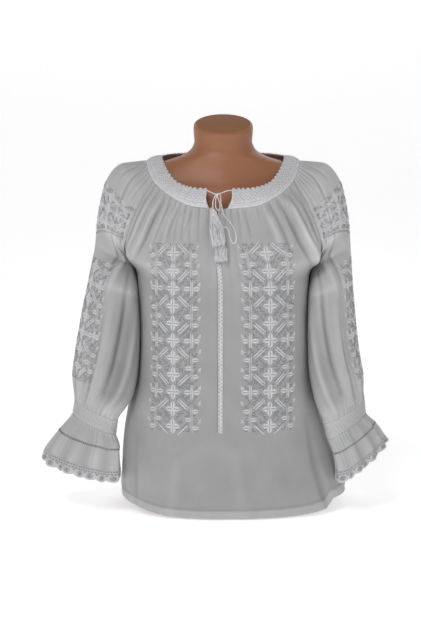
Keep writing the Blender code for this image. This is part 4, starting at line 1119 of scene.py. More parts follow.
# painted light over the whole sleeve, which hangs clear of the form, so more light goes through it
SLEEVE_SHADE = 0.07
SLEEVE_CREASES = (
    (-0.78, 4.1, -0.58, 8.6, 0.03, -3.0),
    (-0.52, 5.6, -0.36, 9.9, 0.025, -2.4),
    (-0.88, 5.2, -0.70, 9.8, 0.035, 3.0),
    (-0.16, 6.8, -0.14, 10.1, 0.025, -1.8),
    (0.70, 4.1, 0.56, 8.6, 0.03, -3.0),
    (0.40, 5.6, 0.34, 9.9, 0.025, -2.4),
    (0.86, 5.2, 0.74, 9.8, 0.035, 3.0),
    (0.10, 6.8, 0.12, 10.1, 0.025, -1.8),
    (-0.50, 0.1, -0.72, 2.4, 0.03, -2.4),
    (-0.34, 0.1, -0.40, 1.5, 0.03, -1.6),
    (0.50, 0.1, 0.70, 2.4, 0.03, -2.4),
    (-0.90, 1.0, -0.92, 4.2, 0.03, -2.4),
    (0.90, 1.0, 0.92, 4.2, 0.03, -2.4),
    (-0.80, 2.6, -0.52, 5.4, 0.04, 3.0),
    (-0.70, 2.8, -0.42, 5.2, 0.03, -2.4),
    (0.78, 3.6, 0.78, 10.4, 0.10, 8.0),
)


def once_round(count):
    """Even places round an arm, from -1 up to 1, which is -1 again and is left out."""
    return np.linspace(-1, 1, count, endpoint=False)


def arm_relief(rows, across, seed):
    """Height of an arm's relief: the sleeve's folds and creases, gathers at the neck and above the
    wrist, and a broad soft unevenness."""
    down, a = rows[:, None], across[None]
    height = folds_at(SLEEVE_FOLDS, a, down) + folds_at(SLEEVE_CREASES, a, down)
    near = 0.4 * gathers(a, down, *SLEEVE_FINE_GATHERS, seed)
    near = near + gathers(a, down, *SLEEVE_BROAD_GATHERS, seed + 7)
    near = near * ramp(down, 0.0, ABOVE_SEAM)
    to_wrist = WRIST_ROW - down
    above = ramp(to_wrist, 0, ABOVE_SEAM) * gathers(a, np.abs(to_wrist), *WRIST_GATHERS, seed + 5)
    above = np.where(down < WRIST_ROW, above, 0.0)
    height = height + sizes().sleeve_gather * near + sizes().wrist_gather * above
    height = height + 0.8 * MM * noise(a * 5, down * 1.2, seed + 9) * ramp(down, 1, 3)
    return height * np.where(down < WRIST_ROW, ramp(1 - np.abs(a), 0.0, SEAM_EDGE), 1.0)


def arm_points(side, rows, across, extra=0.0):
    """The arm's points on the given rows, raised by the lift and the relief. Past the wristband
    waves grow as a cosine round the arm, and the back hangs lower."""
    points = sleeve(PLANS[side], side, rows, across)
    normals = outward(points, middle_of(points))
    edge = ramp(1 - np.abs(across[None]), 0.0, SEAM_EDGE)
    edge = np.where(rows[:, None] < RAGLAN_END, edge, 1.0)
    height = sizes().lift * edge + arm_relief(rows, across, SLEEVE_SEEDS[side])
    grown = np.clip((rows - WRISTBAND_END) / (EDGE_ROW - WRISTBAND_END), 0, 1)[:, None]
    waves = FLOUNCE_WAVE * grown * np.cos(math.pi * FLOUNCE_WAVES * across[None])
    points = points + normals * (height + waves + extra)[..., None]
    points[..., 2] -= BACK_DROP * grown**2 * np.maximum(np.sin(math.pi * across), 0)
    return points


def make_sleeve(side, word):
    """A sleeve: cubic arcs round the arm, raised by its relief, whose two edges meet in one seam
    below the raglan. It is darker behind and towards the body, where less light comes."""
    rows, across = SLEEVE_ROWS, np.linspace(-1, 1, SLEEVE_ROUND + 1)
    points = arm_points(side, rows, across)
    joined = rows >= RAGLAN_END
    seam = (points[joined, 0] + points[joined, -1]) / 2
    points[joined, 0], points[joined, -1] = seam, seam
    middle = middle_of(points)
    remember("sleeve_" + word, points, middle, rows, np.broadcast_to(across, points.shape[:2]))
    under = (ramp(rows, 3.6, 5.4) * (1 - ramp(rows, 8.0, 9.6)))[:, None]
    behind = ramp(across, 0.3, 0.6)[None] * under
    inner = ramp(-across, 0.34, 0.78)[None] * under
    # painted light on the top of the right sleeve, which the lamps light less than the left
    top = 0.06 * (side > 0) * (1 - ramp(rows, 3.0, 4.4))[:, None]
    shade = SLEEVE_SHADE + top - BEHIND_SHADE * behind - INNER_SHADE[side] * inner
    return sheet_object(f"sleeve_of_voile_{word}", points, middle, SLEEVE_ROUND // 2, shade=shade)


GUSSET_Z = (450.0 * MM, 372.0 * MM)
GUSSET_SLACK = 7.0 * MM
GUSSET_SHADE = -0.6  # painted shade: it lies deep between the arm and the body


def make_gusset(side, word):
    """The small underarm gusset, painted dark: a sheet that fills the gap between the arm and the
    body and stands in for the shade there. It is straight lines from the body's side seam to the
    sleeve's inner seam at the same height, bowed back by slack times sin(pi s)."""
    heights = np.linspace(*GUSSET_Z, 24)
    body = seam_of(FRONT, np.linspace(RAGLAN_END, 8, 120), side)
    arm = PLANS[side].point(np.linspace(RAGLAN_END, WRIST_ROW, 120), "inner", side)
    seams = []
    for seam in (body, arm):
        seam = seam[np.argsort(seam[:, 2])]
        seams.append(np.stack([np.interp(heights, seam[:, 2], seam[:, n]) for n in range(3)], -1))
    s = np.linspace(-0.1, 1.1, 9)[None, :, None]
    points = seams[0][:, None] * (1 - s) + seams[1][:, None] * s
    points[..., 1] += GUSSET_SLACK * np.sin(math.pi * np.clip(s[..., 0], 0, 1))
    centre = points.mean(axis=(0, 1)) + (0, 0.2, 0)
    return sheet_object(f"underarm_gusset_{word}", points, centre, 4, shade=GUSSET_SHADE)


CUFF_SHADE = 0.13  # the cuffs hang clear of the form, so more light goes through them
WRIST_ROUND = 240
WRIST_RIBS = 58
SMOCK_ROWS = 5
BAND_OVER = 0.03  # rows by which a wristband laps over the sleeve and the flounce


def ring_object(name, points, shade, **more):
    """A cloth piece that runs all round an arm."""
    return sheet_object(name, points, middle_of(points), 0, closed=True, shade=shade, **more)


def make_wristband(side, word):
    """The smocked band: ribs side by side, caught together in pairs by rows of stitches that
    alternate from row to row, so that the ribs open into small diamonds."""
    rows = steps((WRIST_ROW - BAND_OVER, WRISTBAND_END + BAND_OVER, 28))
    across = once_round(WRIST_ROUND)
    share = (rows - WRIST_ROW)[:, None]
    way = np.where(np.floor(across[None] * WRIST_RIBS / 4) % 2 < 1, 1, -1)
    sway = 0.25 * np.sin(math.pi * SMOCK_ROWS * share) * way
    ribs = np.abs(np.cos(math.pi * (across[None] * WRIST_RIBS / 2 + sway)))
    caught = 1 - 0.35 * np.abs(np.cos(math.pi * SMOCK_ROWS * share)) ** 6
    sunk = 1 - ramp(share, -BAND_OVER, 0.12) * (1 - ramp(share, 0.88, 1 + BAND_OVER))
    height = (0.5 + 1.2 * ribs * caught) * (1 - sunk) - 0.9 * sunk
    points = arm_points(side, rows, across, height * MM)
    # Painted light along the band's top and foot, which evens out the shade in the crevices where
    # it meets the sleeve and the flounce.
    shade = CUFF_SHADE + 0.12 * (np.exp(-share / 0.08) + np.exp(-(1 - share) / 0.08))
    return ring_object(f"smocked_wristband_{word}", points, shade)


FLOUNCE_ROUND = 200
FLOUNCE_SEEDS = {-1: 61, 1: 71}
FLOUNCE_GATHERS = (21.0, 0.9)
LADDER_GAP = 0.045  # half of the openwork's gap, in rows


def flounce_points(side, rows, across):
    """An arm's points below the wristband, with gathers that fade down the flounce and a finer
    unevenness."""
    past = rows[:, None] - WRISTBAND_END
    seed = FLOUNCE_SEEDS[side]
    fine = gathers(across[None], past, *FLOUNCE_GATHERS, seed) * ramp(past, 0, ABOVE_SEAM)
    uneven = noise(across[None] * 9, past * 1.5, seed + 2)
    return arm_points(side, rows, across, 3.4 * MM * fine + 0.8 * MM * uneven)


def make_flounce(side, word, part, first, last):
    """One strip of a flounce, from its first row round the arm to its last."""
    points = flounce_points(side, steps((first, last, 26)), once_round(FLOUNCE_ROUND))
    return ring_object(f"gathered_flounce_{part}_{word}", points, CUFF_SHADE)


LACE_ROWS = steps((LACE_ROW, EDGE_ROW, 26))
LACE_STEPS = 22  # columns for each scallop
SCALLOP_DEPTH = 0.2  # in rows
SCALLOP_WIDTH = 20.0  # from here on in millimetres, for the places of the eyelets
LACE_DEPTH = 24.0
FLOWER_V = 15.6
FLOWER_RING = 3.2
FLOWER_EYELETS = 7
EYELET = 0.95
BETWEEN_EYELETS = (10.0, 12.2, 1.1)  # u, v and radius of the single ones between the flowers
EYELET_ROWS = ((2.8, 4.0, 0.8, 0.0), (7.4, 5.0, 1.0, 2.5))  # v, spacing, radius and shift
RIM = 1.0  # how far the shade round an eyelet reaches
EYELET_SHADE = 0.58
EYELET_REACH = -0.6  # a cell is left open where its middle lies this far inside an eyelet
RIBS_DOWN = 7


def eyelet_space(u, v):
    """How far each place lies from the edge of its nearest eyelet, in millimetres, and below 0
    inside one, for places u from a scallop's middle and v down. A flower of eyelets stands in
    each scallop, single ones stand between them, and two rows of small ones above."""
    space = np.hypot(u, v - FLOWER_V) - 0.6
    for n in range(FLOWER_EYELETS):
        turn = 2 * math.pi * n / FLOWER_EYELETS
        centre = (FLOWER_RING * math.sin(turn), FLOWER_V - FLOWER_RING * math.cos(turn))
        space = np.minimum(space, np.hypot(u - centre[0], v - centre[1]) - EYELET)
    for centre_v, spacing, size, shift in EYELET_ROWS:
        near = (u + shift + spacing / 2) % spacing - spacing / 2
        space = np.minimum(space, np.hypot(near, v - centre_v) - size)
    between, centre_v, size = BETWEEN_EYELETS
    for near in (u - between, u + between):
        space = np.minimum(space, np.hypot(near, v - centre_v) - size)
    return space


def make_lace(side, word):
    """The edging: a crocheted band with eyelets, whose edge hangs in round scallops. At phase p of
    a scallop it is 1 - depth (1 - sin(pi p)^0.6) of its rows deep."""
    across = once_round(SCALLOPS * LACE_STEPS)
    phase = (np.arange(len(across)) % LACE_STEPS) / LACE_STEPS
    depth = 1 - SCALLOP_DEPTH * (1 - np.sin(math.pi * phase) ** 0.6)
    full = flounce_points(side, LACE_ROWS, across)
    down = (LACE_ROWS - LACE_ROW)[:, None]
    last = len(LACE_ROWS) - 1
    where = down * depth[None] * last
    low = np.clip(where.astype(int), 0, last - 1)
    t = (where - low)[..., None]
    column = np.arange(len(across))[None]
    points = full[low, column] * (1 - t) + full[low + 1, column] * t
    height = 0.5 * MM * np.abs(np.sin(math.pi * down * RIBS_DOWN))
    points = points + outward(points, middle_of(points), closed=True) * height[..., None]
    u, v = (phase[None] - 0.5) * SCALLOP_WIDTH, down * LACE_DEPTH
    # Painted shade round each eyelet, standing in for the shaded inside of the cuff seen through
    # the holes, and a little painted light over the rest of the lace.
    dark = np.exp(-np.maximum(eyelet_space(u, v) / RIM, 0.0) ** 2)
    cell_u, cell_v = u + SCALLOP_WIDTH / 2 / LACE_STEPS, (v[:-1] + v[1:]) / 2
    keep = eyelet_space(cell_u, cell_v) > EYELET_REACH
    shade = 0.08 - EYELET_SHADE * dark
    return ring_object(
        f"crochet_edging_{word}", points, shade, keep=keep, material="crochet_lace"
    )


# ---- neckband
BAND_COLUMNS = 620
BAND_BULGE = 2.5 * MM
BAND_WALL = 1.8 * MM
BAND_AXIS_DROP = 120 * MM
BAND_SMOCKS = 104  # smocked cells along the band
SMOCK_LINES = 10
BAND_LAP = 0.045  # how far its lower edge laps over the panels
FRILL_RISE = 0.09  # the top edge's frill, as a share of the band's depth
BAND_LENGTH = 0.66
BAND_DEPTH = 0.05
BAND_SHADE = 0.22
KEYHOLE_BINDING = 1.3 * MM


def make_neckband():
    """A closed profile carried round the neck: outside, picots along the top, a smocked middle and
    three corded ridges at the foot; inside, plain."""
    outside = np.linspace(0, 1, 34)
    inside = np.linspace(1, 0, 8)[1:-1]
    down = np.concatenate([outside, inside])[:, None]
    face = np.concatenate([np.ones(len(outside)), np.zeros(len(inside))])[:, None]
    ends = zip(BAND_UPPER_ENDS, BAND_LOWER_ENDS)
    start, end = (high + (low - high) * (1 - np.sqrt(1 - down**2)) for high, low in ends)
    place = np.linspace(0, 1, BAND_COLUMNS)[None]
    degrees = start + (end - start) * place
    upper, lower = neck_points("upper", degrees), neck_points("lower", degrees)
    points = upper + (lower - upper) * down[..., None]
    centre = points.mean(axis=(0, 1)) - (0, 0, BAND_AXIS_DROP)
    picks = np.interp(down[:, 0], outside, np.arange(len(outside))).round().astype(int)
    normals = outward(points[: len(outside)], centre)[picks]
    cells = place * BAND_SMOCKS
    shift = np.where(np.floor(down * SMOCK_LINES) % 2 < 1, 0.0, 0.5)
    smocking = np.abs(np.sin(math.pi * (cells + shift)))
    smocking = smocking * np.abs(np.sin(math.pi * down * SMOCK_LINES))
    middle = ramp(down, 0.12, 0.16) * (1 - ramp(down, 0.66, 0.70))
    ridges = np.abs(np.sin(math.pi * (down - 0.68) / 0.107)) * ramp(down, 0.67, 0.69)
    stitches = 0.55 + 0.45 * np.abs(np.sin(math.pi * cells * 1.5))
    frill = np.abs(np.sin(math.pi * cells * 0.75 + noise(cells * 0.3, 0.0, 5)))
    frill = (1 - ramp(down, 0.0, 0.12)) * frill
    header = np.exp(-(((down - 0.11) / 0.025) ** 2))
    relief = 2.4 * MM * smocking * middle + 2.0 * MM * ridges * stitches
    relief = relief + 1.6 * MM * frill + 1.2 * MM * header
    lip = 1 - 0.62 * ramp(down, 0.88, 1.0)
    rolled = np.sin(math.pi * np.clip(0.5 * ramp(down, -0.02, 0.05), 0, 1))
    height = BAND_BULGE * np.sin(math.pi * down) + face * (BAND_WALL + relief) * lip * rolled
    points = points + (upper - lower) * (FRILL_RISE * frill)[..., None]
    points = points + (lower - upper) * (BAND_LAP * face * ramp(down, 0.85, 1.0))[..., None]
    points = (points + normals * height[..., None]).transpose(1, 0, 2)
    # Painted shade in the band's hollows and painted highlights on its lumps, and painted light
    # along its foot, which evens out the shade where it laps over the panels.
    lumps = (relief - 1.0 * MM) / (1.2 * MM)
    foot = ramp(down, 0.9, 1.0)
    shade = np.clip(BAND_SHADE * lumps * face, -BAND_SHADE, 0.12) * (1 - foot) + 0.1 * foot
    binding = Pile()
    for ring in (0, -1):
        binding.add_tube(points[ring, 1 : len(outside)], KEYHOLE_BINDING, 10)
    binding.piece("keyhole_binding", "trimming", shade=0.1)
    band = Pile()
    band.add_capped(points, stacked(place.T * BAND_LENGTH, down.T * BAND_DEPTH), shade.T)
    return band.build("smocked_neckband", finish("smocked_cotton"))


# ---- form
FORM_SIDES = 128
FORM_ROWS_EACH = 5


def make_form():
    """Oval sections with a flat base and a flat, tilted cap, closed by fans."""
    last = len(FORM.values) - 1
    rows = np.linspace(0, last, last * FORM_ROWS_EACH + 1)[:, None]
    turn = angles_round(FORM_SIDES)[None]
    power = 2 / FORM.plain(rows, "square")
    depth = np.where(np.sin(turn) < 0, FORM.at(rows, "front"), FORM.at(rows, "back"))
    x = np.sign(np.cos(turn)) * np.abs(np.cos(turn)) ** power * FORM.at(rows, "half_width")
    y = np.sign(np.sin(turn)) * np.abs(np.sin(turn)) ** power * depth
    z = FORM.at(rows, "height") + y * np.tan(np.radians(FORM.plain(rows, "tilt")))
    points = np.stack([x, y + FORM.at(rows, "lean"), z + 0 * x], -1)
    quads = grid_faces(*points.shape[:2], closed=True)
    points, fans = capped(points)
    obj = make_object("smooth_form", points, quads, finish("form_plastic"), triangles=fans)
    obj.data.materials.append(finish("form_cap"))
    slots = np.zeros(len(obj.data.polygons), np.int32)
    slots[-FORM_SIDES:] = 1
    obj.data.polygons.foreach_set("material_index", slots)
    obj.data.set_sharp_from_angle(angle=math.radians(40))
    return obj


# ---- ties and tassels
CORD_STEP = 0.9 * MM
EASING_PASSES = 8
CORD_PLIES = 3
CORD_TWIST = 220.0  # turns in a metre
# Where each tie passes through the knot, and its last points inside its tassel's head.
THROUGH_KNOT_LEFT = ((-12.6, -106.8, 559.4),)
INTO_KNOT_RIGHT = ((-9.6, -106.6, 560.6),)
KNOT_TURN = ((-11.6, -106.6, 560.2), (-9.2, -104.9, 563.4), (-6.0, -105.6, 560.6))
INSIDE_TASSEL_LEFT = ((-16.9, -119.2, 529.0), (-14.6, -125.0, 517.0))
INSIDE_TASSEL_RIGHT = ((-5.0, -126.4, 480.0), (-4.8, -129.0, 470.0))


def swing(values, where):
    """A Catmull-Rom curve through the values at 0, 1, 2 and so on."""
    ends = 2 * values[:1] - values[1:2], 2 * values[-1:] - values[-2:-1]
    padded = np.concatenate([ends[0], values, ends[1]])
    low = np.clip(where.astype(int), 0, len(values) - 2)
    s = where - low
    a, b, c, d = (padded[low + n] for n in range(4))
    return b + 0.5 * s * (c - a + s * (2 * a - 5 * b + 4 * c - d + s * (3 * (b - c) + d - a)))


def curve_through(route, step):
    """Evenly spaced points, in metres, of a smooth curve along a route in millimetres. Each pass
    moves a point halfway to the mean of its neighbours, which eases the tightest turns."""
    route = np.array(route, float)
    turns = np.linspace(0, len(route) - 1, 24 * len(route))
    fine = np.stack([swing(route[:, axis], turns) for axis in range(3)], -1) * MM
    shares = np.linspace(0, 1, max(3, int(length_along(fine)[-1] / step) + 1))
    path = spaced(fine, shares)
    for _ in range(EASING_PASSES):
        path[1:-1] = (path[:-2] + 2 * path[1:-1] + path[2:]) / 4
    return spaced(path, shares)


def make_cord(name, route, *nodes):
    """A plied cord along its route: the plies are swells that wind round the tube."""
    path = curve_through(route, CORD_STEP)
    pile = Pile()
    pile.add_tube(path, sizes().cord / 2, 14, lobes=CORD_PLIES, lobe_depth=0.22, twist=CORD_TWIST)
    return pile.piece(name, "cotton_cord", *nodes), path


STRANDS = 170
STRAND_RADIUS = 0.5 * MM
STRAND_STEPS = 9
STRAND_SIDES = 4
STRAND_UV = 0.05
GOLDEN_ANGLE = math.pi * (3 - math.sqrt(5))
SKIRT_FLATNESS = 0.62
SKIRT_SPREAD = 1.5  # the strands' tips stray a little past the CAD skirt
HEAD_WINDS = 9
NECK_WINDS = 3
WOUND_THREAD = 0.62 * MM
NECK_THREAD = 0.6 * MM


def make_tassel(number, word):
    """A head of wound thread over a skirt of fine strands that fan out and waver. The strands
    start at sunflower places: strand n at the root of (n + 0.5) / count and n golden angles."""
    head, end = TASSELS.point(number, "head"), TASSELS.point(number, "end")
    size = float(TASSELS.at(number, "head_radius"))
    skirt = SKIRT_SPREAD * TASSELS.at(number, "skirt_radius")
    axis = unit(end - head)
    wide = unit(np.cross(axis, (0.0, 1.0, 0.0)))
    deep = np.cross(axis, wide)

    def oval(middle, turn, across, through):
        """Points of ovals round the axis."""
        along = wide * (across * np.cos(turn))[..., None]
        return middle + along + deep * (through * np.sin(turn))[..., None]

    strand = np.arange(STRANDS)[:, None]
    reach = np.linspace(0.0, 1.0, STRAND_STEPS)[None]
    root = size * 0.8
    grown = root + (skirt - STRAND_RADIUS - root) * (0.2 + 0.8 * ramp(reach, 0.05, 0.6))
    radius = np.sqrt((strand + 0.5) / STRANDS) * grown
    radius = radius + 0.5 * MM * noise(strand * 0.37, reach * 3, 90 + number)
    length = 1 - 0.3 * (noise(strand * 0.61, 0 * strand, 95 + number) * 0.5 + 0.5) ** 1.5
    turn = strand * GOLDEN_ANGLE + 0.3 * noise(strand * 0.29, reach * 2.5, 99 + number)
    middle = head + (end - head) * (reach * length)[..., None]
    path = oval(middle, turn, radius, radius * SKIRT_FLATNESS)
    corner = angles_round(STRAND_SIDES)
    points = path[:, :, None] + oval(0.0, corner, 1.0, 1.0) * STRAND_RADIUS
    uv = stacked(corner * STRAND_RADIUS, (reach * STRAND_UV + 0 * strand)[..., None])
    quads = many_grids(STRANDS, STRAND_STEPS, STRAND_SIDES, closed=True).reshape(-1, 4)
    low = (np.arange(STRANDS) * STRAND_STEPS * STRAND_SIDES)[:, None]
    low = low + np.arange(STRAND_SIDES)[None]
    high = low + (STRAND_STEPS - 1) * STRAND_SIDES
    pile = Pile()
    pile.add(points, uv, np.concatenate([quads, low[:, ::-1], high]))
    t = np.linspace(0, 1, 260)
    bow = np.sin(math.pi * (0.08 + 0.84 * t))
    middle = head + axis * (size * 1.7 * (t - 0.5))[:, None]
    around = 2 * math.pi * HEAD_WINDS * t
    pile.add_tube(oval(middle, around, size * 0.86 * bow, size * 0.66 * bow), WOUND_THREAD, 6)
    down = np.linspace(0.02, math.pi - 0.02, 12)[:, None]
    middle = head + axis * (-size * 0.9 * np.cos(down))[..., None]
    core = oval(middle, angles_round(16), size * 0.85 * np.sin(down), size * 0.64 * np.sin(down))
    pile.add_capped(core, np.zeros((12, 16, 2)))
    around = np.linspace(0, 2 * math.pi * NECK_WINDS, 90)
    middle = head + axis * (size * (0.95 + 0.35 * around / around[-1]))[:, None]
    pile.add_tube(oval(middle, around, size * 0.82, size * 0.62), NECK_THREAD, 6)
    return pile.piece(f"thread_tassel_{word}", "cotton_cord", f"tassel_{word}")


def make_knot():
    """The ties' knot: a cord in a flat trefoil, x = a (sin t + 0.55 sin 2t), z = b (cos t - 0.55
    cos 2t) and y = -c sin 3t."""
    t = angles_round(150)
    x = 3.1 * (np.sin(t) + 0.55 * np.sin(2 * t))
    z = 1.75 * (np.cos(t) - 0.55 * np.cos(2 * t))
    y = -1.35 * np.sin(3 * t)
    path = np.array(KNOT_CENTRE) * MM + np.stack([x, y, z], -1) * MM
    pile = Pile()
    swells = {"lobes": CORD_PLIES, "lobe_depth": 0.2, "twist": CORD_TWIST}
    pile.add_tube(path, 0.95 * MM, 12, loop=True, **swells)
    return pile.piece("cord_knot", "cotton_cord", "knot")


# ---- embroidery
# A stroke is a satin stitch or a bar of them. Its columns, in millimetres on the flat cloth: where
# it starts and ends, how far its middle bows aside, half its width, how blunt its ends are (a
# small power makes a bar and a large one a leaf), whether it is of bright floss, and how high it
# is laid. u is from the pattern's middle outwards and v down from its first crossing.
CROSS_PITCH = 29.76
CROSSES_EACH = 3  # in one large repeat
REPEAT = CROSSES_EACH * CROSS_PITCH
CROSS_PETAL = (0.3, 13.4, 9.4)  # a petal's start and end from its crossing, and its width
INNER_BAR = 1.1
OUTER_PETALS = ((36.5, 1), (32.5, -1))  # u, and the way towards which each petal grows
HALF_FLOWERS = ((33.0, 1), (62.0, 1), (47.6, -1))
EDGE_LEAVES = (17.6, 49.4, 81.0)


def petal(u, v, way_u, way_v, first, last, width):
    """Two half leaves side by side, with a groove between them."""
    start, end = (u + way_u * first, v + way_v * first), (u + way_u * last, v + way_v * last)
    bow, half = width / 4 + 0.45, width / 4 - 0.25
    return [(*start, *end, aside * bow, half, 0.8, 1, 0.0) for aside in (-1, 1)]


def bars(way_u, way_v):
    """A double bar of satin stitch that runs off aslant from beside the first crossing."""
    strokes = []
    for aside in (-2.2, 2.2):
        shift_u, shift_v = aside * way_v * 0.7, -aside * way_u * 0.7
        start = (way_u * 10 + shift_u, way_v * 13 + shift_v)
        end = (way_u * 28.5 + shift_u, way_v * 30 + shift_v)
        strokes.append((*start, *end, 0.0, 1.2, 0.22, 1, 0.1))
    return strokes


def upright(u, v, reach, half, power, bright):
    """A bar that stands upright through u, v."""
    return (u, v - reach, u, v + reach, 0.0, half, power, bright, 0.0)


def large_repeat():
    """One repeat of the panel: a column of crosses, lozenges of double bars around them, and
    half flowers down both sides. It is charted for u >= 0 and mirrored."""
    strokes = []
    for cross in range(CROSSES_EACH):
        for way in ((0, -1), (0, 1), (1, 0), (-1, 0)):
            strokes += petal(0, cross * CROSS_PITCH, *way, *CROSS_PETAL)
    for side in (-1, 1):
        strokes += bars(side, -1) + bars(side, 1)
        strokes += [upright(side * u, 0.0, 13.0, INNER_BAR, 0.22, 1) for u in (32.9, 36.1)]
        for u, way in OUTER_PETALS:
            strokes += petal(side * u, 0, side * way, 0, 0.2, 13.0, 8.8)
        for v, way in HALF_FLOWERS:
            strokes += petal(side * 34.5, v, side * way, 0, 0.2, 12.6, 7.8)
            strokes += [upright(side * u, v, 6.5, 1.0, 0.25, 0) for u in (33, 36)]
        for v in EDGE_LEAVES:
            bright = (side * 44.5, v + 3, side * 50.5, v - 3.5, 0.7 * side, 1.5, 0.6, 1, 0.0)
            soft = (side * 45.5, v + 6, side * 51.0, v, 0.7 * side, 1.3, 0.6, 0, 0.0)
            strokes += [bright, soft]
    return np.array(strokes)


def moved(u, v):
    """What to add to strokes to move them by u and v."""
    return np.array([u, v, u, v, 0, 0, 0, 0, 0])


def repeated(first, count):
    """The large repeat laid count times down the cloth, from the first, which may be negative."""
    shifts = [number * CROSSES_EACH * CROSS_PITCH for number in range(first, first + count)]
    return np.concatenate([large_repeat() + moved(0, shift) for shift in shifts])


STROKE_ROWS = 8
STROKE_COLUMNS = 5
STROKE_SHADE = (0.12, 0.42)
BEDDED = 0.25 * MM  # how far a stitch's edge sinks into the cloth


def stroke_patches(strokes, place, bulge):
    """Domed patches for the strokes, and their shade. At t along a stroke its half width is
    w sin(pi t)^p and its middle bows aside by b sin(pi t)^p. The dome's height at c across is its
    half width times sqrt(1 - c^2). Its shade is a painted highlight along its crest that darkens
    by c^2 into painted shade towards its edges."""
    t = np.linspace(0.012, 0.988, STROKE_ROWS)[None, :, None]
    c = np.linspace(-1, 1, STROKE_COLUMNS)[None, None, :]
    start, end = strokes[:, None, None, 0:2], strokes[:, None, None, 2:4]
    bow, half, power, lift = (strokes[:, None, None, n] for n in (4, 5, 6, 8))
    way = unit(end - start)
    aside = np.stack([-way[..., 1], way[..., 0]], -1)
    swell = np.sin(math.pi * t) ** power
    flat = start + (end - start) * t[..., None]
    flat = flat + aside * (bow * swell + half * swell * c)[..., None]
    dome = half * swell * np.sqrt(1 - c**2)
    height = (bulge * dome + lift) * MM - BEDDED * (np.abs(c) > 0.99)
    length = np.linalg.norm(end - start, axis=-1)
    uv = stacked(length * t + 0.35 * half * c, half * c + 0 * t) * MM
    shade = STROKE_SHADE[0] - STROKE_SHADE[1] * c**2 + 0 * dome
    return place(flat[..., 0] * MM, flat[..., 1] * MM, height), uv, shade


def clear_of(strokes, u, v, space):
    """Which of the places u, v keep clear of every stroke's own line."""
    start, end = strokes[:, 0:2], strokes[:, 2:4]
    way = end - start
    spots = np.stack([u, v], -1)[:, None]
    t = ((spots - start) * way).sum(-1) / (way**2).sum(-1)
    nearest = start + way * np.clip(t, 0, 1)[..., None]
    width = strokes[:, 5] * np.sin(math.pi * np.clip(t, 0.12, 0.88)) ** strokes[:, 6]
    width = width + np.abs(strokes[:, 4])
    return (np.linalg.norm(spots - nearest, axis=-1) > width + space).all(axis=1)


SEED_PITCH = 2.6
SEED_LENGTH = 1.6
SEED_WIDTH = 0.85
SEED_HEIGHT = 1.1 * MM
SEED_SINK = 0.1 * MM
# painted shade on each seed's four corners and a painted highlight on its raised middle
SEED_SHADE = (-0.4, -0.4, -0.4, -0.4, 0.2)
SEED_STRAY = 0.35
SEED_CLEAR = 0.5
GREY_LATTICE = (1.05, 14.9, 7.4, 2.6)  # slope, pitch, phase and half width of the grey lozenges
GREY_STRAY = 0.35  # the share of the other seeds that are grey too


def add_seeds(pile, u, v, place, slant):
    """Small lozenge stitches in the ground between the strokes: four corners and a raised middle,
    each turned by its slant."""
    corner = np.array([(-1, 0), (0, -1), (1, 0), (0, 1), (0, 0)], float)
    long, wide = (corner * (SEED_LENGTH, SEED_WIDTH)).T[:, None]
    cosine, sine = np.cos(slant)[:, None], np.sin(slant)[:, None]
    x = u[:, None] + long * cosine - wide * sine
    y = v[:, None] + long * sine + wide * cosine
    lift = np.array([0, 0, 0, 0, SEED_HEIGHT]) - SEED_SINK
    points = place(x * MM, y * MM, lift[None] + 0 * x)
    pile.add_lozenges(points, np.stack([x, y], -1) * MM, np.tile(SEED_SHADE, len(u)))


def turn_outwards(obj):
    """Turns the piece's faces over where they look inwards, towards their own garment part."""
    points, normals = np.empty((2, len(obj.data.vertices) * 3))
    obj.data.vertices.foreach_get("co", points)
    obj.data.vertices.foreach_get("normal", normals)
    points, normals = points.reshape(-1, 3), normals.reshape(-1, 3)
    centre = points.mean(axis=0) * (0.6, 0.0, 1.0)
    if ((points - centre) * normals).sum() < 0:
        obj.data.flip_normals()
    return obj


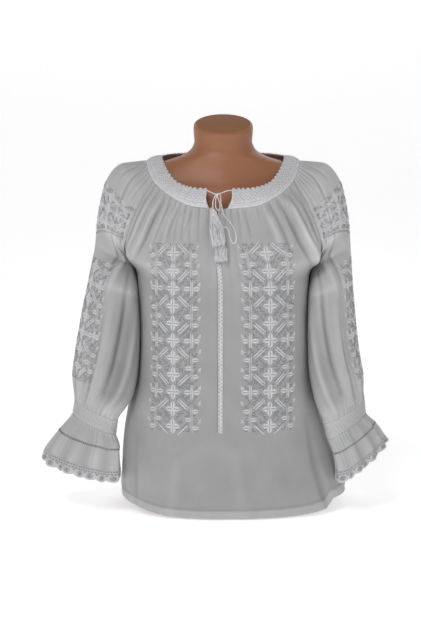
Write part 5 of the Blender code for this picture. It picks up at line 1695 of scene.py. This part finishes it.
def embroider(name, place, strokes, u_range, v_range, edge=None):
    """Satin strokes of bright and of soft floss over a ground of pearl and silver-grey seed
    stitches. edge says how far from the middle the ground runs at v."""
    middle = (strokes[:, 0:2] + strokes[:, 2:4]) / 2
    inside = (middle[:, 0] > u_range[0]) & (middle[:, 0] < u_range[1])
    inside &= (middle[:, 1] > v_range[0] + 1.5) & (middle[:, 1] < v_range[1] - 1.5)
    strokes = strokes[inside]
    random = np.random.default_rng(len(strokes))
    u, v = np.meshgrid(np.arange(*u_range, SEED_PITCH), np.arange(*v_range, SEED_PITCH))
    odd = (np.arange(u.shape[0])[:, None] + np.arange(u.shape[1])[None]) % 2
    u, v, odd = (u + odd * 0.2).ravel(), v.ravel(), odd.ravel()
    u = u + random.uniform(-SEED_STRAY, SEED_STRAY, len(u))
    v = v + random.uniform(-SEED_STRAY, SEED_STRAY, len(u))
    keep = clear_of(strokes, u, v, SEED_CLEAR)
    if edge is not None:
        keep &= np.abs(u) < edge(v)
    u, v, odd = u[keep], v[keep], odd[keep]
    slant = np.where(odd > 0, 0.8, -0.8) + random.uniform(-0.2, 0.2, len(u))
    slope, pitch, phase, half = GREY_LATTICE
    lattice = np.abs((np.abs(u) * slope + (v + 300 * CROSS_PITCH) % REPEAT) % pitch - phase) < half
    grey = lattice | (random.uniform(0, 1, len(u)) < GREY_STRAY)
    pieces = []
    for bright, kind, slot in ((1, "bright", "white_floss"), (0, "soft", "pearl_floss")):
        satin = Pile()
        chosen = strokes[strokes[:, 7] == bright]
        satin.add_patches(*stroke_patches(chosen, place, sizes().stitch / (1.5 * MM)))
        pieces.append(satin.build(f"{kind}_satin_stitches_{name}", finish(slot)))
    for mask, kind, slot in ((grey, "grey", "grey_floss"), (~grey, "pearl", "pearl_floss")):
        ground = Pile()
        add_seeds(ground, u[mask], v[mask], place, slant[mask])
        pieces.append(ground.build(f"{kind}_seed_stitches_{name}", finish(slot)))
    for piece in pieces:
        dress(turn_outwards(piece), "trimming")


FRONT_COLUMN = 85.0 * MM
FRONT_TOP = 461.0 * MM
FRONT_V = (-16.0, 308.0)
FRONT_U = (-51.0, 51.0)
FRONT_PHASE = 2 * CROSS_PITCH  # from the top cross down to the first crossing
FRONT_SEARCH = (1.2, 9.6)


def jagged_edge(v):
    """A zigzag between 42 and 48 mm from the middle."""
    return 42 + 6 * np.abs((v / (CROSS_PITCH / 2)) % 2 - 1)


def embroider_front():
    """A column of the pattern down each half of the front."""
    cloth = CLOTHS["front"]
    strokes = repeated(-1, 5) + moved(0, FRONT_PHASE)
    for side, word in ARMS:

        def place(u, v, height, side=side):
            along = side * (FRONT_COLUMN + u)
            row = cloth.row_at_height(along, FRONT_TOP - v, *FRONT_SEARCH)
            return cloth.on(row, cloth.share(row, along), height)

        embroider(f"front_{word}", place, strokes, FRONT_U, FRONT_V, jagged_edge)


STRIP_ROWS = (4.38, 8.0)
STRIP_LANE = -0.30
STRIP_CENTRE = {"left": -35.0, "right": -12.0}
STRIP_U = (-50.0, 50.0)
STRIP_LEAD = 14.0  # how far above the strip's start the ground begins


def embroider_strips(word):
    """A strip of the same pattern down the front of the sleeve."""
    cloth = CLOTHS["sleeve_" + word]
    lane = np.full(len(cloth.rows), STRIP_LANE)
    down = length_along(cloth.sample(cloth.points, cloth.rows, lane))
    start, end = np.interp(STRIP_ROWS, cloth.rows, down)

    def place(u, v, height):
        row = np.interp(start + v + STRIP_LEAD * MM, down, cloth.rows)
        return cloth.on(row, cloth.share(row, u + STRIP_CENTRE[word] * MM), height)

    strokes = repeated(-1, 4) + moved(0, CROSS_PITCH)
    v_range = (-STRIP_LEAD, (end - start) / MM - STRIP_LEAD)
    embroider(f"strip_{word}", place, strokes, STRIP_U, v_range, jagged_edge)


ALTITA_TOP = (2.03, 0.6, 2.0)  # row at the middle, its fall towards the seams, and the power
ALTITA_FOOT = (3.74, 1.1, 1.3)
ALTITA_HALF = 142.0
ALTITA_SHARE = 0.93  # of the block's height that the crosses fill
ALTITA_EDGE = 0.965
ALTITA_PASSES = 8  # each finds the row and the place across from one another
HALF_SLEEVE = 0.15
COLUMN_HALF = 36.5
ALTITA_COLUMNS = (-120.0, -60.0, 0.0, 60.0, 120.0)


def altita_row(across, share):
    """The row at a share of the way down the block, whose borders curve up towards the seams."""
    top, foot = (
        row - fall * np.abs(across) ** power for row, fall, power in (ALTITA_TOP, ALTITA_FOOT)
    )
    return top + (foot - top) * share


def embroider_altita(word):
    """The block over the upper arm, the altita: five columns of crosses, three high."""
    cloth = CLOTHS["sleeve_" + word]

    def place(u, v, height):
        share = (v / MM + CROSS_PITCH / 2) / REPEAT * ALTITA_SHARE
        across = u / HALF_SLEEVE
        for _ in range(ALTITA_PASSES):
            row = altita_row(np.clip(across, -1, 1), share)
            across = np.clip(cloth.share(row, u), -ALTITA_EDGE, ALTITA_EDGE)
        return cloth.on(row, across, height)

    column = large_repeat()
    column = column[np.abs(column[:, 0]) < COLUMN_HALF]
    column = np.concatenate([column, column - moved(0, REPEAT)]) + moved(0, CROSS_PITCH)
    strokes = np.concatenate([column + moved(shift, 0) for shift in ALTITA_COLUMNS])
    span = (-CROSS_PITCH / 2, 2.5 * CROSS_PITCH)
    embroider(f"altita_{word}", place, strokes, (-ALTITA_HALF, ALTITA_HALF), span)


GREY_SHARES = (0.975, 1.0)
GREY_PITCH = 2.4 * MM
GREY_WIDTH = 1.8 * MM
STITCH_LIFT = (0.05 * MM, 0.05 * MM, 0.05 * MM, 0.05 * MM, 0.7 * MM)


def stitched_lines(name, cloth, lines, pitch, width):
    """Rows of small slanted silver-grey stitches. A line is its rows and places across a cloth."""
    corner = np.array([(-0.5, -1), (0.1, -0.4), (0.5, 1), (-0.1, 0.4), (0, 0)])
    corner = corner * (pitch * 0.9, width / 2)
    pile = Pile()
    for rows, across in lines:
        path = cloth.on(rows, across, 0.0 * rows)
        out = unit(cloth.sample(cloth.normals, rows, across))
        far = length_along(path)
        where = (np.arange(int(far[-1] / pitch)) + 0.5) * pitch
        middle, way, normal = (
            np.stack([np.interp(where, far, values[:, n]) for n in range(3)], -1)
            for values in (path, np.gradient(path, axis=0), out)
        )
        way, normal = unit(way), unit(normal)
        points = middle[:, None] + way[:, None] * corner[None, :, 0, None]
        points = points + np.cross(normal, way)[:, None] * corner[None, :, 1, None]
        points = points + normal[:, None] * np.array(STITCH_LIFT)[None, :, None]
        pile.add_lozenges(points, np.broadcast_to(corner[None], (len(where), 5, 2)))
    dress(turn_outwards(pile.build(name, finish("grey_floss"))), "trimming")


def make_grey_lines(word):
    """Two silver-grey lines of stitches along the altita's foot."""
    across = np.linspace(-0.96, 0.96, 160)
    lines = [(altita_row(across, share), across) for share in GREY_SHARES]
    cloth = CLOTHS["sleeve_" + word]
    stitched_lines(f"grey_stitch_lines_{word}", cloth, lines, GREY_PITCH, GREY_WIDTH)


# ---- front opening
TRIM_HALF = 4.2 * MM
TRIM_ROWS = (2.69, 8.1)
TRIM_CELL = 6.4 * MM
TRIM_EYES = ((-2.1 * MM, 0.0), (1.9 * MM, 0.5))  # each column's place, and its shift in cells
TRIM_EYE = 1.15 * MM
TRIM_SHADE = (0.06, 0.55)
TRIM_CORD_PLACE = 3.4 * MM
TRIM_CORD = 0.75 * MM
TRIM_STITCHES = -5.0 * MM
WELT_RADIUS = 1.25 * MM
WELT_ROWS = (0.0, 2.6)
WELT_STEP = 0.9 * MM


def make_slit_binding():
    """A rolled welt down one edge of the slit, round its foot and up the other."""
    cloth = CLOTHS["front"]
    rows = np.linspace(*WELT_ROWS, 70)
    half = slit_half(rows) + 0.2 * MM
    left, right = (
        cloth.on(rows, cloth.share(rows, side * half), 0.1 * MM + 0 * rows) for side in (-1, 1)
    )
    foot = (left[-1] + right[-1]) / 2 - (0, 0, 1.2 * MM)
    route = np.concatenate([left, foot[None], right[::-1]])
    path = spaced(route, np.linspace(0, 1, int(length_along(route)[-1] / WELT_STEP)))
    pile = Pile()
    pile.add_tube(path, WELT_RADIUS, 10)
    pile.piece("slit_welt", "trimming", "slit_binding")


def make_front_trim():
    """A narrow braid down the middle of the front, with two columns of eyes and a rolled cord
    along both edges. An eye's depth and its painted shade, which stands in for the shade in the
    open eye, fall off as exp(-(distance / radius)^2)."""
    cloth = CLOTHS["front"]
    line = np.linspace(*TRIM_ROWS, 380)
    rows, reach = line[:, None], np.linspace(-1, 1, 13)[None]
    rise = (0.9 * MM) * np.sqrt(np.maximum(1 - reach**4, 0)) - 0.3 * MM
    down = length_along(cloth.on(line, cloth.share(line, 0 * line), 0 * line))[:, None]
    eyes = 0 * down * reach
    for place, shift in TRIM_EYES:
        along = ((down / TRIM_CELL + shift) % 1 - 0.5) * TRIM_CELL
        eyes = eyes + np.exp(-(along**2 + (TRIM_HALF * reach - place) ** 2) / TRIM_EYE**2)
    height = rise + 0.5 * MM * (0.5 - eyes) * (np.abs(reach) < 0.99)
    points = cloth.on(rows + 0 * reach, cloth.share(rows, TRIM_HALF * reach), height)
    pile = Pile()
    uv = stacked(TRIM_HALF * reach, down)
    pile.add_patches(points[None], uv[None], TRIM_SHADE[0] - TRIM_SHADE[1] * eyes)
    for aside in (-1, 1):
        edge = cloth.share(line, aside * TRIM_CORD_PLACE)
        path = cloth.on(line, edge, 1.0 * MM + 0 * line)
        pile.add_tube(path, TRIM_CORD, 8, lobes=2, lobe_depth=0.3, twist=280.0)
    turn_outwards(pile.piece("front_tape", "trimming", "front_trim"))
    lines = [(line, cloth.share(line, TRIM_STITCHES))]
    stitched_lines("front_tape_stitches", cloth, lines, TRIM_CELL / 2, 1.3 * MM)


# ---- openwork
LADDER_BARS = 96
LADDER_BAR = 0.95 * MM
LADDER_BAR_SHADE = -0.5
LADDER_CORD = 0.45 * MM
BAR_WAIST = (1.25, 0.85, 1.25)
BAR_SIDES = 6


def bars_between(pile, starts, ends):
    """Straight dark bars with open ends that sink into the edges they join."""
    way = unit(ends - starts)
    side = unit(np.cross(way, (0.0, 1.0, 0.35)))
    other = np.cross(way, side)
    turn = angles_round(BAR_SIDES)
    ring = side[:, None] * np.cos(turn)[None, :, None]
    ring = ring + other[:, None] * np.sin(turn)[None, :, None]
    line = np.stack([starts, (starts + ends) / 2, ends], 1)[:, :, None]
    points = line + ring[:, None] * LADDER_BAR * np.array(BAR_WAIST)[None, :, None, None]
    far = np.linspace(0, 0.003, 3)[None, :, None] + 0 * line[..., 0]
    quads = many_grids(len(starts), 3, BAR_SIDES, closed=True)
    pile.add(points, stacked(turn * LADDER_BAR, far), quads, shade=LADDER_BAR_SHADE)


def make_ladder(side, word):
    """Openwork between the flounces: a corded edge above and below, and straight bars from one to
    the other. The bars are painted dark, partly as grey thread and partly as painted shade that
    stands in for the shaded holes between the threads."""
    rows = OPENWORK_ROW + LADDER_GAP * np.array([-1, 1, 2])
    edges = flounce_points(side, rows, once_round(FLOUNCE_ROUND))
    edges = edges + outward(edges, middle_of(edges), closed=True) * sizes().cloth / 2
    pile = Pile()
    for edge in (0, 1):
        pile.add_tube(edges[edge], LADDER_CORD, 6, loop=True)
    loop = np.concatenate([edges, edges[:, :1]], axis=1)[:2]
    where = (np.arange(LADDER_BARS) + 0.5) / LADDER_BARS
    bars_between(pile, *resampled(loop, where[None]))
    return pile.piece(f"ladder_openwork_{word}", "crochet_lace", shade=-0.06)


# ---- stage
CAMERA_AIM = Vector((-0.0224, 0.0, 0.340))
CAMERA_DISTANCE = 2.6
CAMERA_RISE = math.radians(7)
CAMERA_LENS = 82.7
SENSOR = 36.0
LAMP_AIM = Vector((0, 0, 0.35))
LAMPS = (
    ("key_lamp", (-0.9, -2.0, 2.5), 1.2, 30.0),
    ("fill_lamp", (1.9, -1.9, 1.7), 1.6, 8.0),
    ("back_lamp", (0.6, 2.0, 2.0), 1.6, 5.0),
)
WORLD_LIGHT = 0.15
FLOOR_DROP = 0.2 * MM
FLOOR_FRONT = -6.0
FLOOR_BACK = 2.2
FLOOR_HALF = 7.0
WALL_RADIUS = 1.6
WALL_HEIGHT = 5.0


def aim(obj, place, target):
    """Puts the object in its place and turns it to the target."""
    obj.location = place
    obj.rotation_euler = (target - Vector(place)).to_track_quat("-Z", "Y").to_euler()
    bpy.context.scene.collection.objects.link(obj)
    return obj


def make_camera():
    """A camera straight in front of the blouse and a few degrees above it."""
    data = bpy.data.cameras.new("camera")
    data.lens, data.sensor_width = CAMERA_LENS, SENSOR
    ahead = Vector((0, -math.cos(CAMERA_RISE), math.sin(CAMERA_RISE))) * CAMERA_DISTANCE
    camera = aim(bpy.data.objects.new("camera", data), CAMERA_AIM + ahead, CAMERA_AIM)
    bpy.context.scene.camera = camera


def make_lights():
    """Three square lamps and a pale world."""
    for name, place, size, power in LAMPS:
        data = bpy.data.lights.new(name, "AREA")
        data.size, data.energy = size, power
        aim(bpy.data.objects.new(name, data), place, LAMP_AIM)
    world = bpy.data.worlds.new("studio")
    world.use_nodes = True
    light = world.node_tree.nodes["Background"].inputs
    light["Color"].default_value = (1.0, 1.0, 1.0, 1.0)
    light["Strength"].default_value = WORLD_LIGHT
    bpy.context.scene.world = world
    bpy.context.scene.view_settings.view_transform = "Standard"


def make_sweep():
    """A floor that curves up into a back wall: a straight, a quarter circle and a straight, drawn
    out sideways."""
    turn, end = np.linspace(0, math.pi / 2, 24), FLOOR_BACK + WALL_RADIUS
    y = np.concatenate([[FLOOR_FRONT], FLOOR_BACK + WALL_RADIUS * np.sin(turn), [end]])
    z = np.concatenate([[0.0], WALL_RADIUS * (1 - np.cos(turn)), [WALL_HEIGHT]]) - FLOOR_DROP
    points = stacked(np.array([-FLOOR_HALF, FLOOR_HALF])[None], y[:, None], z[:, None])
    quads = grid_faces(len(y), 2)[:, ::-1]
    paper = new_material("seamless_paper", paper_sweep, linear("#fafafa"))
    make_object("paper_sweep", points, quads, paper)


# ---- operators
class IE_OT_stage(bpy.types.Operator):
    """Adds the camera, the lamps, the world and the paper sweep"""

    bl_idname = "ie.stage"
    bl_label = "Stage"
    bl_options = {"REGISTER", "UNDO"}

    def execute(self, context):
        make_camera()
        make_lights()
        make_sweep()
        return {"FINISHED"}


class IE_OT_ties(bpy.types.Operator):
    """Adds the two ties with their bow, the knot and the tassels"""

    bl_idname = "ie.ties"
    bl_label = "Ties and tassels"
    bl_options = {"REGISTER", "UNDO"}

    def execute(self, context):
        knot = make_knot()
        left_tassel, right_tassel = make_tassel(0, "left"), make_tassel(1, "right")
        left_route = TIE_LEFT + THROUGH_KNOT_LEFT + END_LEFT + INSIDE_TASSEL_LEFT
        right_route = TIE_RIGHT + INTO_KNOT_RIGHT + BOW_LOOP + KNOT_TURN + END_RIGHT
        right_route = right_route + INSIDE_TASSEL_RIGHT
        right_nodes = ("tie_right", "bow_loop", "tie_end_right")
        left = make_cord("tie_cord_left", left_route, "tie_left", "tie_end_left")
        right = make_cord("tie_cord_right", right_route, *right_nodes)
        for (cord, path), pieces in ((left, [left_tassel, knot]), (right, [right_tassel])):
            tuple(path[0])
            float(lengths_along(path[None])[0, -1])
            [tuple(point) for point in path]
            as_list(pieces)
        return {"FINISHED"}


class IE_OT_form(bpy.types.Operator):
    """Adds the smooth dress form"""

    bl_idname = "ie.form"
    bl_label = "Dress form"
    bl_options = {"REGISTER", "UNDO"}

    def execute(self, context):
        dress(make_form(), "form_plastic", "form")
        return {"FINISHED"}


class IE_OT_body(bpy.types.Operator):
    """Adds the front and the back panel"""

    bl_idname = "ie.body"
    bl_label = "Front and back"
    bl_options = {"REGISTER", "UNDO"}

    def execute(self, context):
        front = dress(make_front(), "cotton_voile", "body_front")
        back = dress(make_back(), "cotton_voile", "body_back")
        return {"FINISHED"}


class IE_OT_sleeves(bpy.types.Operator):
    """Adds both sleeves"""

    bl_idname = "ie.sleeves"
    bl_label = "Sleeves"
    bl_options = {"REGISTER", "UNDO"}

    def execute(self, context):
        for side, word in ARMS:
            cloth = dress(make_sleeve(side, word), "cotton_voile", f"sleeve_{word}")
            gusset = dress(make_gusset(side, word), "cotton_voile")
        return {"FINISHED"}


class IE_OT_cuffs(bpy.types.Operator):
    """Adds the wristbands, flounces, openwork and lace"""

    bl_idname = "ie.cuffs"
    bl_label = "Cuffs and lace"
    bl_options = {"REGISTER", "UNDO"}

    def execute(self, context):
        for side, word in ARMS:
            band = dress(make_wristband(side, word), "cotton_voile", f"wristband_{word}")
            upper = make_flounce(side, word, "upper", WRISTBAND_END, OPENWORK_ROW - LADDER_GAP)
            lower = make_flounce(side, word, "lower", OPENWORK_ROW + LADDER_GAP, LACE_ROW)
            dress(upper, "cotton_voile", f"flounce_upper_{word}")
            dress(lower, "cotton_voile", f"flounce_lower_{word}")
            ladder = make_ladder(side, word)
            lace = dress(make_lace(side, word), "crochet_lace", f"lace_{word}")
        return {"FINISHED"}


class IE_OT_neckband(bpy.types.Operator):
    """Adds the smocked neckband"""

    bl_idname = "ie.neckband"
    bl_label = "Neckband"
    bl_options = {"REGISTER", "UNDO"}

    def execute(self, context):
        band = dress(make_neckband(), "smocked_cotton", "neckband")
        return {"FINISHED"}


class IE_OT_opening(bpy.types.Operator):
    """Adds the slit's welt and the tape below it"""

    bl_idname = "ie.opening"
    bl_label = "Slit and tape"
    bl_options = {"REGISTER", "UNDO"}

    def execute(self, context):
        make_slit_binding()
        make_front_trim()
        return {"FINISHED"}


class IE_OT_embroidery(bpy.types.Operator):
    """Adds the embroidery of the front and the sleeves"""

    bl_idname = "ie.embroidery"
    bl_label = "Embroidery"
    bl_options = {"REGISTER", "UNDO"}

    def execute(self, context):
        embroider_front()
        for _, word in ARMS:
            embroider_strips(word)
            embroider_altita(word)
            make_grey_lines(word)
        return {"FINISHED"}


class IE_PT_panel(bpy.types.Panel):
    """Lists the blouse's sizes, colours and pieces in the sidebar"""

    bl_idname = "IE_PT_panel"
    bl_label = "Romanian Ie Blouse"
    bl_space_type = "VIEW_3D"
    bl_region_type = "UI"
    bl_category = "Ie Blouse"

    def draw(self, context):
        for group in (context.scene.ie_sizes, context.scene.ie_colours):
            for name in group.__annotations__:
                self.layout.prop(group, name)
        for operator in OPERATORS:
            self.layout.operator(operator.bl_idname)


OPERATORS = (
    IE_OT_stage,
    IE_OT_ties,
    IE_OT_form,
    IE_OT_body,
    IE_OT_sleeves,
    IE_OT_cuffs,
    IE_OT_neckband,
    IE_OT_opening,
    IE_OT_embroidery,
)
CLASSES = (IeSizes, IeColours, *OPERATORS, IE_PT_panel)


def register():
    for cls in CLASSES:
        bpy.utils.register_class(cls)
    bpy.types.Scene.ie_sizes = PointerProperty(type=IeSizes)
    bpy.types.Scene.ie_colours = PointerProperty(type=IeColours)


def unregister():
    del bpy.types.Scene.ie_sizes
    del bpy.types.Scene.ie_colours
    for cls in reversed(CLASSES):
        bpy.utils.unregister_class(cls)


def main():
    register()
    for operator in OPERATORS:
        group, name = operator.bl_idname.split(".")
        getattr(getattr(bpy.ops, group), name)()


if __name__ == "__main__":
    main()
